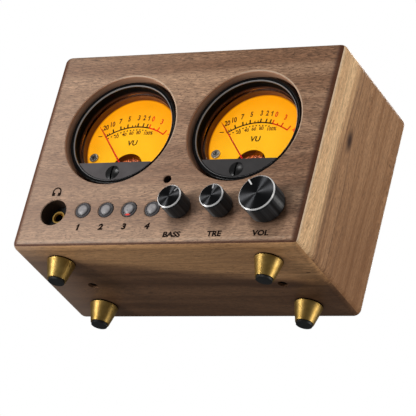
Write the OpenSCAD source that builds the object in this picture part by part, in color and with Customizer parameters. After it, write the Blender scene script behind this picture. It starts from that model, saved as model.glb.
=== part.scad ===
/* [Cabinet] */
// Outside width of the wooden cabinet
cab_w = 160; // [154:0.5:175]
// Outside height of the cabinet, without the feet
cab_h = 111; // [108:0.5:130]
// Outside depth of the cabinet, front face to rear edge
cab_d = 76; // [72:0.5:100]
// Thickness of the walnut boards
board_t = 8; // [7:0.1:9]
// Radius of the rounded outer edges
edge_r = 4; // [2:0.1:5]

/* [Chassis] */
// Sheet thickness of the steel chassis
sheet_t = 1.2; // [0.8:0.1:2]
// How far the rear panel sits in from the rear edge
panel_inset = 1.5; // [0.5:0.1:2.5]
// How far the rear panel reaches into the boards
rabbet_w = 3; // [2:0.1:3.5]
// Gap between the chassis floor and the side boards
floor_gap = 3; // [1:0.1:6]
// Front edge of the chassis floor, behind the front face
floor_y = 25; // [24:0.1:30]

/* [Feet] */
// Distance of the feet from the left and right sides
foot_side = 22; // [18:0.1:30]
// Distance of the feet from the front and rear edges
foot_inset = 15.2; // [12:0.1:20]
// Radius of the brass foot where it meets the cabinet
foot_top_r = 7.2; // [6:0.1:9]
// Radius of the brass foot at its lower end
foot_tip_r = 4.7; // [4.5:0.1:5.8]
// Height of the brass foot
foot_brass_h = 10.3; // [9:0.1:14]
// Radius of the rubber pad
pad_r = 4.1; // [3.9:0.1:4.4]
// How far the rubber pad stands out of the foot
pad_proud = 1.2; // [0.6:0.1:2]

/* [Meters] */
// Distance between the two meter centres
meter_pitch = 69.6; // [66:0.1:72]
// Height of the meter centres above the cabinet's underside
meter_z = 65.6; // [64:0.1:67]
// Radius of the bore in the front board
meter_bore_r = 30.75; // [30:0.05:32]
// Outside radius of the bezel
bezel_r = 29.35; // [28.8:0.05:29.8]
// Inside radius of the bezel at its front lip
bezel_in_r = 27; // [26.9:0.05:27.4]
// How far the bezel sits behind the front face
bezel_inset = 2.5; // [1.5:0.1:3.5]
// Gap between the window and the dial plate
dial_gap = 3.6; // [3.6:0.1:5]
// Radius of the dial plate
dial_r = 25.4; // [24.5:0.05:25.5]
// Height of the mask's straight edge below the meter centre
mask_drop = 16.7; // [15:0.1:18]
// Height of the needle's pivot below the meter centre
pivot_drop = 16.1; // [15.8:0.1:16.3]
// Distance of the zero screw below the pivot
zero_drop = 6.3; // [6.1:0.05:6.4]
// Radius of the zero screw's head
zero_r = 3.8; // [3.2:0.05:3.85]
// Length of the pointer from its pivot
pointer_len = 31.5; // [28:0.1:33]
// Angle of the pointer left of upright, at rest
rest_angle = 38.5; // [36:0.5:42]
// Overall depth of the meter case behind the front face
case_end_y = 38; // [36:0.1:44]

/* [Controls] */
// Height of the knobs and buttons above the underside
control_z = 20.3; // [18.5:0.1:21.5]
// Place of the bass knob, right of the centre
bass_x = 11.3; // [10.5:0.1:12]
// Place of the treble knob, right of the centre
treble_x = 34.4; // [33:0.1:36]
// Distance of the volume knob from the right side
volume_side = 20.4; // [19.6:0.1:22]
// Angles that the knobs are left at, clockwise from upright
knob_angles = [40, 0, -40];
// Radius of the two tone knobs
tone_r = 6.3; // [5.5:0.1:7]
// Radius of the volume knob
volume_r = 9.5; // [8.5:0.1:11]
// How far the tone knobs stand out of the front
tone_proud = 11.8; // [9:0.1:14]
// How far the volume knob stands out of the front
volume_proud = 13; // [10:0.1:16]
// Radius of the potentiometer shafts
shaft_r = 3; // [2.5:0.05:3.1]
// Distance of the first button left of the centre
button_x = 43.3; // [42.5:0.1:44]
// Distance from one button to the next
button_pitch = 13.1; // [12.8:0.05:13.3]
// Radius of the button caps
button_r = 4.1; // [3.6:0.05:4.4]
// Travel of a button
button_travel = 0.5; // [0.3:0.05:0.6]
// Depth of the control circuit board behind the front face
control_y = 20; // [19:0.1:21]
// Radius of the remote receiver's window
ir_r = 1.9; // [1.5:0.05:2.2]
// Height of the remote receiver's window
ir_z = 36.7; // [35.5:0.1:37.5]

/* [Sockets] */
// Distance of the headphone socket from the left side
jack_side = 19.9; // [19:0.1:21]
// Height of the headphone socket
jack_z = 19.4; // [18.5:0.1:20]
// Radius of the recess round the headphone socket
jack_recess_r = 7.1; // [6.5:0.05:7.3]
// Radius of the gold sleeve
sleeve_r = 3.3; // [3:0.05:3.6]
// Radius of the bore for the headphone plug
plug_r = 1.8; // [1.75:0.01:1.85]
// Depth of the sleeve's mouth behind the front face
sleeve_y = 5.2; // [4:0.1:6]
// Radius of the phono sockets' outer shell
phono_r = 4.15; // [4:0.01:4.2]
// How far the phono sockets stand out of the rear panel
phono_proud = 9; // [8:0.1:11]
// Places of the phono sockets
phono_xs = [-54, -40, -22, -8];
// Place of the power inlet
inlet_x = 52; // [40:0.5:56]

/* [Hidden] */
$fn = 72;
eps = 0.01;                 // overlap of solids that are joined
over = 1;                   // overshoot of a cut past a face
far = 400;                  // reach of a cutting block
run_fit = 0.05;             // radial clearance of a turning fit
seat_fit = 0.02;            // radial clearance of a piece that sits in its hole
end_gap = 0.1;              // clearance along an axis
loose = 0.2;                // clearance round a fixed piece
rim_chamfer = 0.35;         // on the front rims of the bores in the wood

half_w = cab_w / 2;
foot_h = foot_brass_h + pad_proud;
panel_y = cab_d - panel_inset - sheet_t;
phono_end_y = cab_d - panel_inset + phono_proud;
front_y = -(phono_end_y - volume_proud) / 2;
inner_w = cab_w - 2 * board_t;
inner_h = cab_h - 2 * board_t;
foot_places = [for (sx = [-1, 1], y = [foot_inset, cab_d - foot_inset]) [sx * (half_w - foot_side), y]];

// Brass feet
foot_collar = 0.4;          // dark joint under the cabinet
foot_rim = 0.5;             // straight rim above the cone
foot_sink = 4.5;            // depth of the pad's and screw head's hole
foot_bite = 6;              // screw in the bottom board
foot_screw_r = 1.7;
foot_head_r = 3.2;
foot_head_h = 2.2;
pad_plug_r = 3.5;
pad_plug_h = 1.9;

// Small screws
screw_r = 1.25;
pan_r = 2.5;
pan_h = 1.6;
cross_reach = 0.55;         // share of the head's radius that the cross covers
cross_w = 0.7;
cross_d = 0.7;

// Layers of a meter, by depth behind the front face
bezel_lip = 0.6;            // chamfer inside the front edge
bezel_round = 1.1;          // radius of the outer front edge
spigot_t = 0.65;
ledge_in = 2.2;             // window ledge behind the board
window_t = 1.5;
window_r = bezel_in_r - spigot_t - loose / 2;
case_ledge_y = board_t + ledge_in;
window_y = case_ledge_y - window_t;
mask_in = 0.8;              // mask behind the bezel's front
mask_clear = 0.45;
mask_y = bezel_inset + mask_in;
mask_t = 1.9;
mask_end_y = mask_y + mask_t;
mask_r = bezel_in_r - mask_clear;
mask_ledge_in = 0.3;
mask_ledge_r = bezel_in_r - mask_ledge_in;
mask_ledge_w = 1.5;
mask_ledge_gap = 7;         // half the gap in the ledge at the zero screw
dial_y = case_ledge_y + dial_gap;
dial_t = 0.8;
dial_low = 24;              // straight lower edge of the dial plate

// Meter case
flange_gap = 5.6;           // between the two flanges
flange_w = meter_pitch - flange_gap;
flange_t = 2.4;
flange_edge = 4;            // flange screws in from the edge
flange_bite = 5;
flange_screw_off = flange_w / 2 - flange_edge;
flange_margin = 0.9;
flange_corner_r = flange_screw_off * sqrt(2) + pan_r + flange_margin;
cup_wall = 1.8;
cup_in_r = dial_r + loose;
cup_r = cup_in_r + cup_wall;
back_wall = 1.6;
case_floor_y = case_end_y - back_wall;
dial_screw_x = 19.8;
dial_screw_drop = 8;
dial_screw_r = 1;
dial_screw_len = 5;
dial_head_r = 2.35;
dial_head_h = 0.9;
dial_boss_r = 2.6;

// The movement, round its pivot axis
core_r = 5;
core_len = 10;
yoke_in_r = 6.7;
yoke_r = 9.2;
yoke_gap = 3.2;             // from the dial plate
yoke_y = dial_y + yoke_gap;
yoke_end_y = yoke_y + core_len;
web_bite = 0.2;             // core webs into the yoke
coil_in = 5.5;
coil_out = 6.2;
coil_half = 1.3;
coil_plate = 0.8;
coil_front = 1.4;
coil_back = 1.8;
coil_y = yoke_y - coil_front;
coil_end_y = yoke_end_y + coil_back;
post_in = 7;
post_out = 8.4;
post_half = 1.3;
bridge_half = 1.6;
bridge_t = 0.6;
bridge_front = 2.2;
bridge_y = dial_y - bridge_front;
rear_bar_gap = 3;
rear_bar_y = yoke_end_y + rear_bar_gap;
rear_bar_t = 1;
pivot_r = 0.5;
boss_r = 1.4;
boss_len = 1.1;
notch_r = 8.9;              // notch in the dial plate for the movement
notch_up = 1.8;
pointer_t = 0.3;
pointer_front = 1.1;
pointer_y = dial_y - pointer_front;
pointer_root = 0.35;
pointer_tip = 0.14;
tail_len = 5.5;
weight_r = 0.8;
weight_front = 0.15;
weight_back = 0.7;
hub_r = 1.6;
hub_front = 0.2;

// Zero screw and the lever that it turns
lever_t = 0.6;
lever_front = 0.9;
lever_y = bridge_y - lever_front;
lever_half = 1.3;
lever_hub_r = 2.6;
lever_short = 0.3;          // how far the lever ends short of the pin's lowest point
pin_r = 0.5;
pin_off = 1.3;
pin_clear = 0.12;
slot_above = 1.2;           // lever's slot above the pin's axis
zero_dome = 0.8;
zero_slot_w = 0.9;
zero_slot_d = 1.5;
zero_shank_r = 2.2;
zero_rim = 0.3;
zero_rim_t = 0.7;
shank_out = 0.15;           // shank behind the window

// Lamps and terminals of a meter
lamp_w = 22;
lamp_h = 7;
lamp_t = 1.2;
lamp_z = 13;
lamp_back = 2;
lamp_y = yoke_y + lamp_back;
lamp_peg_x = 8;
lamp_peg_r = 1.5;
led_w = 2.8;
led_t = 0.9;
terminal_x = 10;
terminal_z = 4;
stud_r = 1.5;
stud_out = 7;
washer_r = 2.7;
washer_t = 1.4;
nut_r = 2.9;
nut_t = 2.4;

// Control board and its spacers
pcb_t = 1.6;
pcb_edge = 0.6;
pcb_low = 9.5;
pcb_top = 33;
tab_half = 8;
tab_over = 4.5;
tab_top = ir_z + tab_over;
spacer_r = 2.5;
spacer_in = 3.2;
spacer_zs = [12, 28.5];
spacer_x = inner_w / 2 - spacer_in;
control_edge = inner_w / 2 - pcb_edge;
wood_bite = 4;

// Knobs and potentiometers
volume_x = half_w - volume_side;
knob_xs = [bass_x, treble_x, volume_x];
knob_gap = 0.5;
knob_roof = 2;              // knob in front of its shaft
knob_chamfer = 0.55;
groove_d = 0.25;
groove_w = 0.5;
groove_from = 1.1;
knob_step = 0.8;
flat_cut = 0.5;
mark_w = 0.8;
mark_d = 0.35;
tone_mark_in = 3.5;
volume_mark_in = 5.7;
pot_w = 9.8;
pot_h = 11;
pot_d = 6.8;
pot_y = control_y - pot_d;
bushing_wall = 0.5;
bushing_r = shaft_r + bushing_wall;
bushing_y = 5.5;
shaft_in_pot = 2.3;
shaft_end_y = pot_y + shaft_in_pot;

// Buttons and their switches
button_xs = [for (i = [0:3]) i * button_pitch - button_x];
button_hole = button_r + loose;
button_face = -0.2;
button_dome_edge = 1.2;
button_dome_r = button_r - button_dome_edge;
button_dome_h = 0.8;
button_lip = 0.4;
button_groove = 0.35;
button_back_y = board_t + loose;
button_rim = 0.9;
button_rim_t = 1;
button_rim_y = button_back_y + button_rim_t;
switch_w = 6;
switch_t = 3.5;
stem_r = 1.7;
plunger_len = 2;
plunger_y = control_y - switch_t - plunger_len;
stem_end_y = plunger_y - button_travel - end_gap;
signal_drop = 5.4;
signal_w = 2;
signal_h = 1.25;
signal_t = 0.8;

// Headphone socket and remote receiver
jack_x = jack_side - half_w;
jack_w = 7.6;
jack_plate_lap = 1;
jack_plate_r = jack_recess_r + jack_plate_lap;
jack_plate_t = 1;
jack_back = 1;
sleeve_back = 1;
sleeve_end_y = control_y - jack_back;
plug_end_y = sleeve_end_y - sleeve_back;
sleeve_mouth = 0.8;
ir_y = 2.6;
ir_dome_r = 2 * ir_r;
ir_w = 5.6;
ir_h = 7;
ir_d = 4.5;

// Main board
bottom_screw_side = 26.5;
bottom_screw_x = half_w - bottom_screw_side;
bottom_screw_y = 40;
bottom_head_r = 2.4;
bottom_sink = 3;
bottom_screw_r = 1.5;
bottom_bite = 2.5;
main_spacer_h = 5;
main_spacer_r = 3;
main_side_gap = 10;
main_half = inner_w / 2 - main_side_gap;
main_front_y = 27;
main_rear_gap = 1;
main_z = board_t + sheet_t + main_spacer_h;
main_top = main_z + pcb_t;
main_bite = 1.7;
main_rear_in = 16.3;
main_ys = [bottom_screw_y, panel_y - main_rear_in];
cap_r = 5;
cap_h = 16;
cap_xs = [-30, -16, 16, 30];
cap_y = 50;

// Rear sockets
phono_w = 11;
phono_d = 12;
phono_rise = 7;
phono_z = main_top + phono_rise;
phono_wall = 0.55;
phono_flange_w = 1.45;
phono_flange_r = phono_r + phono_flange_w;
phono_flange_t = 0.8;
phono_pin_r = 1.6;
phono_face_in = 2;
phono_face_y = phono_end_y - phono_face_in;
phono_pin_len = 10;
inlet_w = 9;
inlet_h = 11;
inlet_d = 13;
inlet_nose_r = 4;
inlet_bore_r = 2.9;
inlet_pin_r = 1;
inlet_depth = 9;
inlet_z = main_top + inlet_h / 2;

// Places a child drawn from the front face and the underside of the cabinet
module in_cabinet() translate([0, front_y, foot_h]) children();
module at_front(x, z) in_cabinet() translate([x, 0, z]) children();
module at_meter(side) at_front(side * meter_pitch / 2, meter_z) children();
module at_pivot(side) at_meter(side) translate([0, 0, -pivot_drop]) children();
module at_zero(side) at_pivot(side) translate([0, 0, -zero_drop]) children();

// Solids along the depth: y runs from the front face to the rear
module rod_y(r, y0, y1) translate([0, y0, 0]) rotate([-90, 0, 0]) cylinder(r = r, h = y1 - y0);
module slab_y(y0, y1) translate([0, y1, 0]) rotate([90, 0, 0]) linear_extrude(y1 - y0) children();
module slab_x(x0, x1) translate([x0, 0, 0]) rotate([90, 0, 90]) linear_extrude(x1 - x0) children();
module turned() rotate([-90, 0, 0]) rotate_extrude() children();
module block(w, y0, y1, h) translate([-w / 2, y0, -h / 2]) cube([w, y1 - y0, h]);
// A bore through the front board, with its front rim broken by a small chamfer
module front_bore(r) {
    rod_y(r, -over, board_t + over);
    translate([0, -over, 0]) rotate([-90, 0, 0])
        cylinder(r1 = r + rim_chamfer + over, r2 = r - rim_chamfer, h = 2 * rim_chamfer + over);
}
module tube_y(r, bore, y0, y1) difference() {
    rod_y(r, y0, y1);
    rod_y(bore, y0 - over, y1 + over);
}

// A pan-headed screw with a cross recess, head towards the front
module screw_y(r, head_r, head_h, seat_y, len) difference() {
    union() {
        rod_y(head_r, seat_y - head_h, seat_y);
        rod_y(r, seat_y - eps, seat_y + len);
    }
    for (a = [0, 90]) rotate([0, a, 0])
        block(2 * cross_reach * head_r, seat_y - head_h - over, seat_y - head_h + cross_d, cross_w);
}
// The same screw, head towards the rear
module screw_forward(r, head_r, head_h, seat_y, len)
    translate([0, 2 * seat_y, 0]) rotate([180, 0, 0]) screw_y(r, head_r, head_h, seat_y, len);
// And upright, head down
module screw_up(r, head_r, head_h, len) rotate([90, 0, 0]) screw_y(r, head_r, head_h, 0, len);

// ---- Cabinet ----
module round_rect(w, h, r) {
    translate([r, 0]) square([w - 2 * r, h]);
    translate([0, r]) square([w, h - 2 * r]);
    for (x = [r, w - r], y = [r, h - r]) translate([x, y]) circle(r = r);
}
// Three prisms round the edges, and a ball rounds each corner
module rounded_block(w, d, h, r) difference() {
    intersection() {
        slab_x(-w / 2, w / 2) round_rect(d, h, r);
        slab_y(0, d) translate([-w / 2, 0]) round_rect(w, h, r);
        linear_extrude(h) translate([-w / 2, 0]) round_rect(w, d, r);
    }
    for (sx = [0, 1], sy = [0, 1], sz = [0, 1])
        translate([sx ? w / 2 : -w / 2, sy ? d : 0, sz ? h : 0])
            mirror([sx, 0, 0]) mirror([0, sy, 0]) mirror([0, 0, sz]) difference() {
                cube(r);
                translate([r, r, r]) sphere(r = r);
            }
}

// The mitred zone of each board reaches past the outer faces
module front_zone() intersection() {
    translate([0, 0, -over]) linear_extrude(cab_h + 2 * over) polygon([
        [-half_w - over, -over], [half_w + over, -over],
        [half_w - board_t, board_t], [-half_w + board_t, board_t]]);
    slab_x(-half_w - over, half_w + over) polygon([
        [-over, -over], [board_t, board_t], [board_t, cab_h - board_t], [-over, cab_h + over]]);
}
module top_zone() intersection() {
    slab_y(-over, cab_d + over) polygon([
        [-half_w - over, cab_h + over], [half_w + over, cab_h + over],
        [half_w - board_t, cab_h - board_t], [-half_w + board_t, cab_h - board_t]]);
    slab_x(-half_w - over, half_w + over) polygon([
        [-over, cab_h + over], [board_t, cab_h - board_t],
        [cab_d + over, cab_h - board_t], [cab_d + over, cab_h + over]]);
}
module right_zone() intersection() {
    slab_y(-over, cab_d + over) polygon([
        [half_w + over, -over], [half_w + over, cab_h + over],
        [half_w - board_t, cab_h - board_t], [half_w - board_t, board_t]]);
    translate([0, 0, -over]) linear_extrude(cab_h + 2 * over) polygon([
        [half_w + over, -over], [half_w - board_t, board_t],
        [half_w - board_t, cab_d + over], [half_w + over, cab_d + over]]);
}
module in_zone() intersection() {
    rounded_block(cab_w, cab_d, cab_h, edge_r);
    children();
}
module rabbet() translate([-inner_w / 2 - rabbet_w, panel_y, board_t - rabbet_w])
    cube([inner_w + 2 * rabbet_w, cab_d, inner_h + 2 * rabbet_w]);
module board() color("#7a5a44") in_cabinet() difference() {
    in_zone() children();
    rabbet();
}

module front_board() color("#8d6e58") in_cabinet() difference() {
    in_zone() front_zone();
    for (side = [-1, 1]) translate([side * meter_pitch / 2, 0, meter_z]) {
        front_bore(meter_bore_r);
        for (a = [-1, 1], b = [-1, 1]) translate([a * flange_screw_off, 0, b * flange_screw_off])
            rod_y(screw_r + run_fit, board_t - flange_bite - end_gap, board_t + over);
    }
    translate([jack_x, 0, jack_z]) front_bore(jack_recess_r);
    for (x = button_xs) translate([x, 0, control_z]) front_bore(button_hole);
    translate([0, 0, ir_z]) front_bore(ir_r + loose);
    for (x = knob_xs) translate([x, 0, control_z]) rod_y(bushing_r + loose, -over, board_t + over);
    for (sx = [-1, 1], z = spacer_zs) translate([sx * spacer_x, 0, z])
        rod_y(screw_r + run_fit, board_t - wood_bite - end_gap, board_t + over);
}
module top_board() board() top_zone();
module bottom_board() difference() {
    board() translate([0, 0, cab_h]) mirror([0, 0, 1]) top_zone();
    in_cabinet() {
        for (p = foot_places) translate([p.x, p.y, -over])
            cylinder(r = foot_screw_r + run_fit, h = foot_bite + end_gap + over);
        for (sx = [-1, 1]) translate([sx * bottom_screw_x, bottom_screw_y, -over]) {
            cylinder(r = bottom_head_r + loose, h = bottom_sink + over);
            cylinder(r = bottom_screw_r + run_fit, h = board_t + 2 * over);
        }
    }
}
module right_board() board() right_zone();
module left_board() board() mirror([1, 0, 0]) right_zone();

// Folded steel: the floor under the main board, and the whole rear panel
module rear_chassis() color("#26272a") in_cabinet() difference() {
    union() {
        translate([-inner_w / 2 + floor_gap, floor_y, board_t])
            cube([inner_w - 2 * floor_gap, panel_y + sheet_t - floor_y, sheet_t]);
        translate([-inner_w / 2 - rabbet_w + loose, panel_y, board_t - rabbet_w + loose])
            cube([inner_w + 2 * rabbet_w - 2 * loose, sheet_t, inner_h + 2 * rabbet_w - 2 * loose]);
    }
    for (x = phono_xs) translate([x, 0, phono_z]) rod_y(phono_r + loose, panel_y - over, cab_d + over);
    translate([inlet_x, 0, inlet_z]) rod_y(inlet_nose_r + loose, panel_y - over, cab_d + over);
    for (sx = [-1, 1]) translate([sx * bottom_screw_x, bottom_screw_y, board_t - over])
        cylinder(r = bottom_screw_r + run_fit, h = sheet_t + 2 * over);
}

// ---- Feet ----
module feet() color("#b08d45") in_cabinet() for (p = foot_places) translate([p.x, p.y, 0]) difference() {
    union() {
        translate([0, 0, -foot_brass_h])
            cylinder(r1 = foot_tip_r, r2 = foot_top_r, h = foot_brass_h - foot_collar - foot_rim);
        translate([0, 0, -foot_collar - foot_rim]) cylinder(r = foot_top_r, h = foot_rim);
        translate([0, 0, -foot_collar - eps]) cylinder(r = foot_top_r - foot_rim, h = foot_collar + eps);
    }
    translate([0, 0, -foot_brass_h - over]) cylinder(r = pad_plug_r + run_fit, h = foot_sink + over);
    translate([0, 0, -foot_brass_h]) cylinder(r = foot_screw_r + run_fit, h = foot_brass_h + over);
}
module foot_pads() color("#1b1d1e") in_cabinet() for (p = foot_places) translate([p.x, p.y, 0]) {
    translate([0, 0, -foot_h]) cylinder(r = pad_r, h = pad_proud);
    translate([0, 0, -foot_brass_h - eps]) cylinder(r = pad_plug_r, h = pad_plug_h + eps);
}
module foot_screws() color("#b9bcc0") in_cabinet() for (p = foot_places)
    translate([p.x, p.y, -foot_brass_h + foot_sink])
        screw_up(foot_screw_r, foot_head_r, foot_head_h, foot_brass_h - foot_sink + foot_bite);

// ---- Meters ----
module case_body(side) color("#17181a") at_meter(side) difference() {
    union() {
        difference() {
            union() {
                slab_y(board_t, board_t + flange_t) intersection() {
                    square(flange_w, center = true);
                    circle(r = flange_corner_r);
                }
                rod_y(cup_r, board_t + flange_t - eps, case_end_y);
            }
            rod_y(bezel_in_r + run_fit, board_t - over, case_ledge_y);
            rod_y(cup_in_r, board_t - over, case_floor_y);
        }
        for (sx = [-1, 1]) {
            translate([sx * dial_screw_x, 0, -dial_screw_drop]) rod_y(dial_boss_r, dial_y + dial_t, case_floor_y + eps);
            translate([sx * lamp_peg_x, 0, lamp_z]) rod_y(lamp_peg_r, lamp_y + lamp_t, case_floor_y + eps);
        }
    }
    for (sx = [-1, 1]) {
        translate([sx * dial_screw_x, 0, -dial_screw_drop])
            rod_y(dial_screw_r + run_fit, dial_y, dial_y + dial_screw_len + end_gap);
        translate([sx * terminal_x, 0, terminal_z]) rod_y(stud_r + run_fit, case_floor_y - over, case_end_y + over);
        for (sz = [-1, 1]) translate([sx * flange_screw_off, 0, sz * flange_screw_off])
            rod_y(screw_r + loose, board_t - over, board_t + flange_t + over);
    }
}
module bezel_profile() {
    translate([bezel_r - bezel_round, bezel_inset + bezel_round]) circle(r = bezel_round);
    translate([bezel_in_r + bezel_lip, bezel_inset])
        square([bezel_r - bezel_in_r - bezel_lip - bezel_round, 2 * bezel_round]);
    polygon([
        [bezel_in_r, bezel_inset + bezel_lip], [bezel_in_r + bezel_lip, bezel_inset],
        [bezel_in_r + bezel_lip, bezel_inset + bezel_round],
        [bezel_r, bezel_inset + bezel_round], [bezel_r, board_t],
        [bezel_in_r, board_t], [bezel_in_r, case_ledge_y],
        [bezel_in_r - spigot_t, case_ledge_y], [bezel_in_r - spigot_t, window_y]]);
}
// The ring, and the ledge inside it that the mask rests on
module bezel(side) color("#101113") at_meter(side) {
    turned() bezel_profile();
    difference() {
        intersection() {
            tube_y(mask_ledge_r, mask_ledge_r - mask_ledge_w, mask_end_y, window_y);
            translate([-far / 2, 0, -far - mask_drop - over]) cube(far);
        }
        block(2 * mask_ledge_gap, 0, far, far);
    }
}
module window(side) color("#dfe8ee", 0.3) at_meter(side) difference() {
    rod_y(window_r, window_y, case_ledge_y);
    translate([0, 0, -pivot_drop - zero_drop]) rod_y(zero_shank_r + run_fit, 0, far);
}
module mask(side) color("#3c3b3e") at_meter(side) difference() {
    intersection() {
        rod_y(mask_r, mask_y, mask_end_y);
        translate([-far / 2, 0, -far - mask_drop]) cube(far);
    }
    translate([0, 0, -pivot_drop - zero_drop]) rod_y(zero_r + run_fit, 0, far);
}
module dial(side) color("#ffb31f") at_meter(side) slab_y(dial_y, dial_y + dial_t) difference() {
    intersection() {
        circle(r = dial_r);
        translate([-far / 2, -dial_low]) square(far);
    }
    translate([0, notch_up - pivot_drop]) circle(r = notch_r);
    translate([-notch_r, -far + notch_up - pivot_drop]) square([2 * notch_r, far]);
    for (sx = [-1, 1]) translate([sx * dial_screw_x, -dial_screw_drop]) circle(r = dial_screw_r + run_fit);
}
module zero_screw(side) color("#141416") at_zero(side) difference() {
    dome_r = (zero_r * zero_r + zero_dome * zero_dome) / (2 * zero_dome);
    head_y = mask_y - zero_dome;
    rim_y = mask_end_y + end_gap;
    union() {
        intersection() {
            rod_y(zero_r, head_y, rim_y + eps);
            translate([0, head_y + dome_r, 0]) sphere(r = dome_r);
        }
        rod_y(zero_r + zero_rim, rim_y, rim_y + zero_rim_t);
        rod_y(zero_shank_r, rim_y + zero_rim_t - eps, case_ledge_y + shank_out);
        translate([0, 0, pin_off]) rod_y(pin_r, case_ledge_y, lever_y + lever_t + end_gap);
    }
    block(zero_slot_w, 0, head_y + zero_slot_d, 4 * zero_r);
}
module zero_lever(side) color("#c9a45c") at_pivot(side) slab_y(lever_y, lever_y + lever_t) difference() {
    union() {
        circle(r = lever_hub_r);
        translate([-lever_half, lever_short - zero_drop - pin_off])
            square([2 * lever_half, zero_drop + pin_off - lever_short]);
    }
    circle(r = boss_r + run_fit);
    translate([-pin_r - pin_clear, pin_off + slot_above - zero_drop - far]) square([2 * (pin_r + pin_clear), far]);
}
module needle(side) color("#c8321e") at_pivot(side) rotate([0, -rest_angle, 0]) {
    slab_y(pointer_y, pointer_y + pointer_t) polygon([
        [-pointer_root, -tail_len], [pointer_root, -tail_len], [pointer_root, 0],
        [pointer_tip, pointer_len], [-pointer_tip, pointer_len], [-pointer_root, 0]]);
    rod_y(hub_r, pointer_y - hub_front, coil_y);
    rod_y(pivot_r, bridge_y - boss_len + 2 * end_gap, pointer_y);
    translate([0, 0, weight_r - tail_len]) rod_y(weight_r, pointer_y - weight_front, pointer_y + weight_back);
}
module coil(side) color("#a9572a") at_pivot(side) rotate([0, -rest_angle, 0]) {
    difference() {
        block(2 * coil_out, coil_y, coil_end_y, 2 * coil_half);
        block(2 * coil_in, coil_y + coil_plate, coil_end_y - coil_plate, 4 * coil_half);
    }
    rod_y(pivot_r, coil_end_y - eps, rear_bar_y + rear_bar_t - end_gap);
}
// Yoke with its two webs, the posts, and the bars that hold the pivots
module movement_frame(side) color("#8f9296") at_pivot(side) {
    tube_y(yoke_r, yoke_in_r, yoke_y, yoke_end_y);
    for (a = [0, 180]) rotate([0, a, 0]) difference() {
        translate([-post_half, yoke_y, core_r - over])
            cube([2 * post_half, core_len, yoke_in_r + web_bite - core_r + over]);
        rod_y(core_r + seat_fit, 0, far);
    }
    for (x = [-post_out, post_in]) {
        translate([x, bridge_y, -post_half]) cube([post_out - post_in, yoke_y - bridge_y + eps, 2 * post_half]);
        translate([x, yoke_end_y - eps, -post_half])
            cube([post_out - post_in, case_floor_y - yoke_end_y + eps, 2 * post_half]);
    }
    difference() {
        union() {
            block(2 * post_out, bridge_y, bridge_y + bridge_t, 2 * bridge_half);
            rod_y(boss_r, bridge_y - boss_len, bridge_y + eps);
            block(2 * post_out, rear_bar_y, rear_bar_y + rear_bar_t, 2 * bridge_half);
        }
        rod_y(pivot_r + run_fit, 0, far);
    }
}
module magnet_core(side) color("#6d7074") at_pivot(side) rod_y(core_r, yoke_y, yoke_end_y);

// What both meters have, as groups of separate solids
module dial_lamps() for (side = [-1, 1]) at_meter(side) translate([0, 0, lamp_z]) {
    color("#e9e6da") block(lamp_w, lamp_y, lamp_y + lamp_t, lamp_h);
    for (i = [-1:1]) color("#ffd27a") translate([i * lamp_peg_x, 0, 0])
        block(led_w, lamp_y - led_t, lamp_y + eps, led_w);
}
module dial_screws() color("#a8acb2") for (side = [-1, 1], sx = [-1, 1])
    at_meter(side) translate([sx * dial_screw_x, 0, -dial_screw_drop])
        screw_y(dial_screw_r, dial_head_r, dial_head_h, dial_y, dial_screw_len);
module meter_screws() color("#2a2a2c") for (side = [-1, 1], a = [-1, 1], b = [-1, 1])
    at_meter(side) translate([a * flange_screw_off, 0, b * flange_screw_off])
        screw_forward(screw_r, pan_r, pan_h, board_t + flange_t, flange_t + flange_bite);
module meter_terminals() color("#c7a75a") for (side = [-1, 1], sx = [-1, 1])
    at_meter(side) translate([sx * terminal_x, 0, terminal_z]) {
        rod_y(stud_r, case_floor_y - washer_t, case_end_y + stud_out);
        rod_y(washer_r, case_floor_y - washer_t, case_floor_y);
        translate([0, case_end_y, 0]) rotate([-90, 0, 0]) cylinder(r = nut_r, h = nut_t, $fn = 6);
    }

// ---- Knobs, shafts and potentiometers ----
module flat_cut_below(y1) translate([-far / 2, y1 - far, shaft_r - flat_cut]) cube(far);
module knob(i, r, proud, mark_in) color("#1d1e20") at_front(knob_xs[i], control_z)
    rotate([0, knob_angles[i], 0]) difference() {
        turned() polygon([
            [0, -proud], [r - knob_chamfer, -proud], [r, knob_chamfer - proud],
            [r, groove_from - proud], [r - groove_d, groove_from + groove_d - proud],
            [r - groove_d, groove_from + groove_w - proud],
            [r, groove_from + groove_w + groove_d - proud],
            [r, -knob_gap - knob_step], [r - knob_step / 2, -knob_gap - knob_step / 2],
            [r - knob_step / 2, -knob_gap], [0, -knob_gap]]);
        difference() {
            rod_y(shaft_r + run_fit, knob_roof - proud, 0);
            translate([0, 0, run_fit]) flat_cut_below(0);
        }
        translate([-mark_w / 2, -proud - over, mark_in]) cube([mark_w, over + mark_d, r]);
    }
module shaft(i, proud) color("#c4c6c9") at_front(knob_xs[i], control_z)
    rotate([0, knob_angles[i], 0]) difference() {
        rod_y(shaft_r, knob_roof + end_gap - proud, shaft_end_y);
        flat_cut_below(-knob_gap);
    }
module potentiometers() color("#3a4f6e") for (x = knob_xs) at_front(x, control_z) difference() {
    union() {
        block(pot_w, pot_y, control_y, pot_h);
        rod_y(bushing_r, bushing_y, pot_y + eps);
    }
    rod_y(shaft_r + run_fit, 0, shaft_end_y + end_gap);
}

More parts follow.
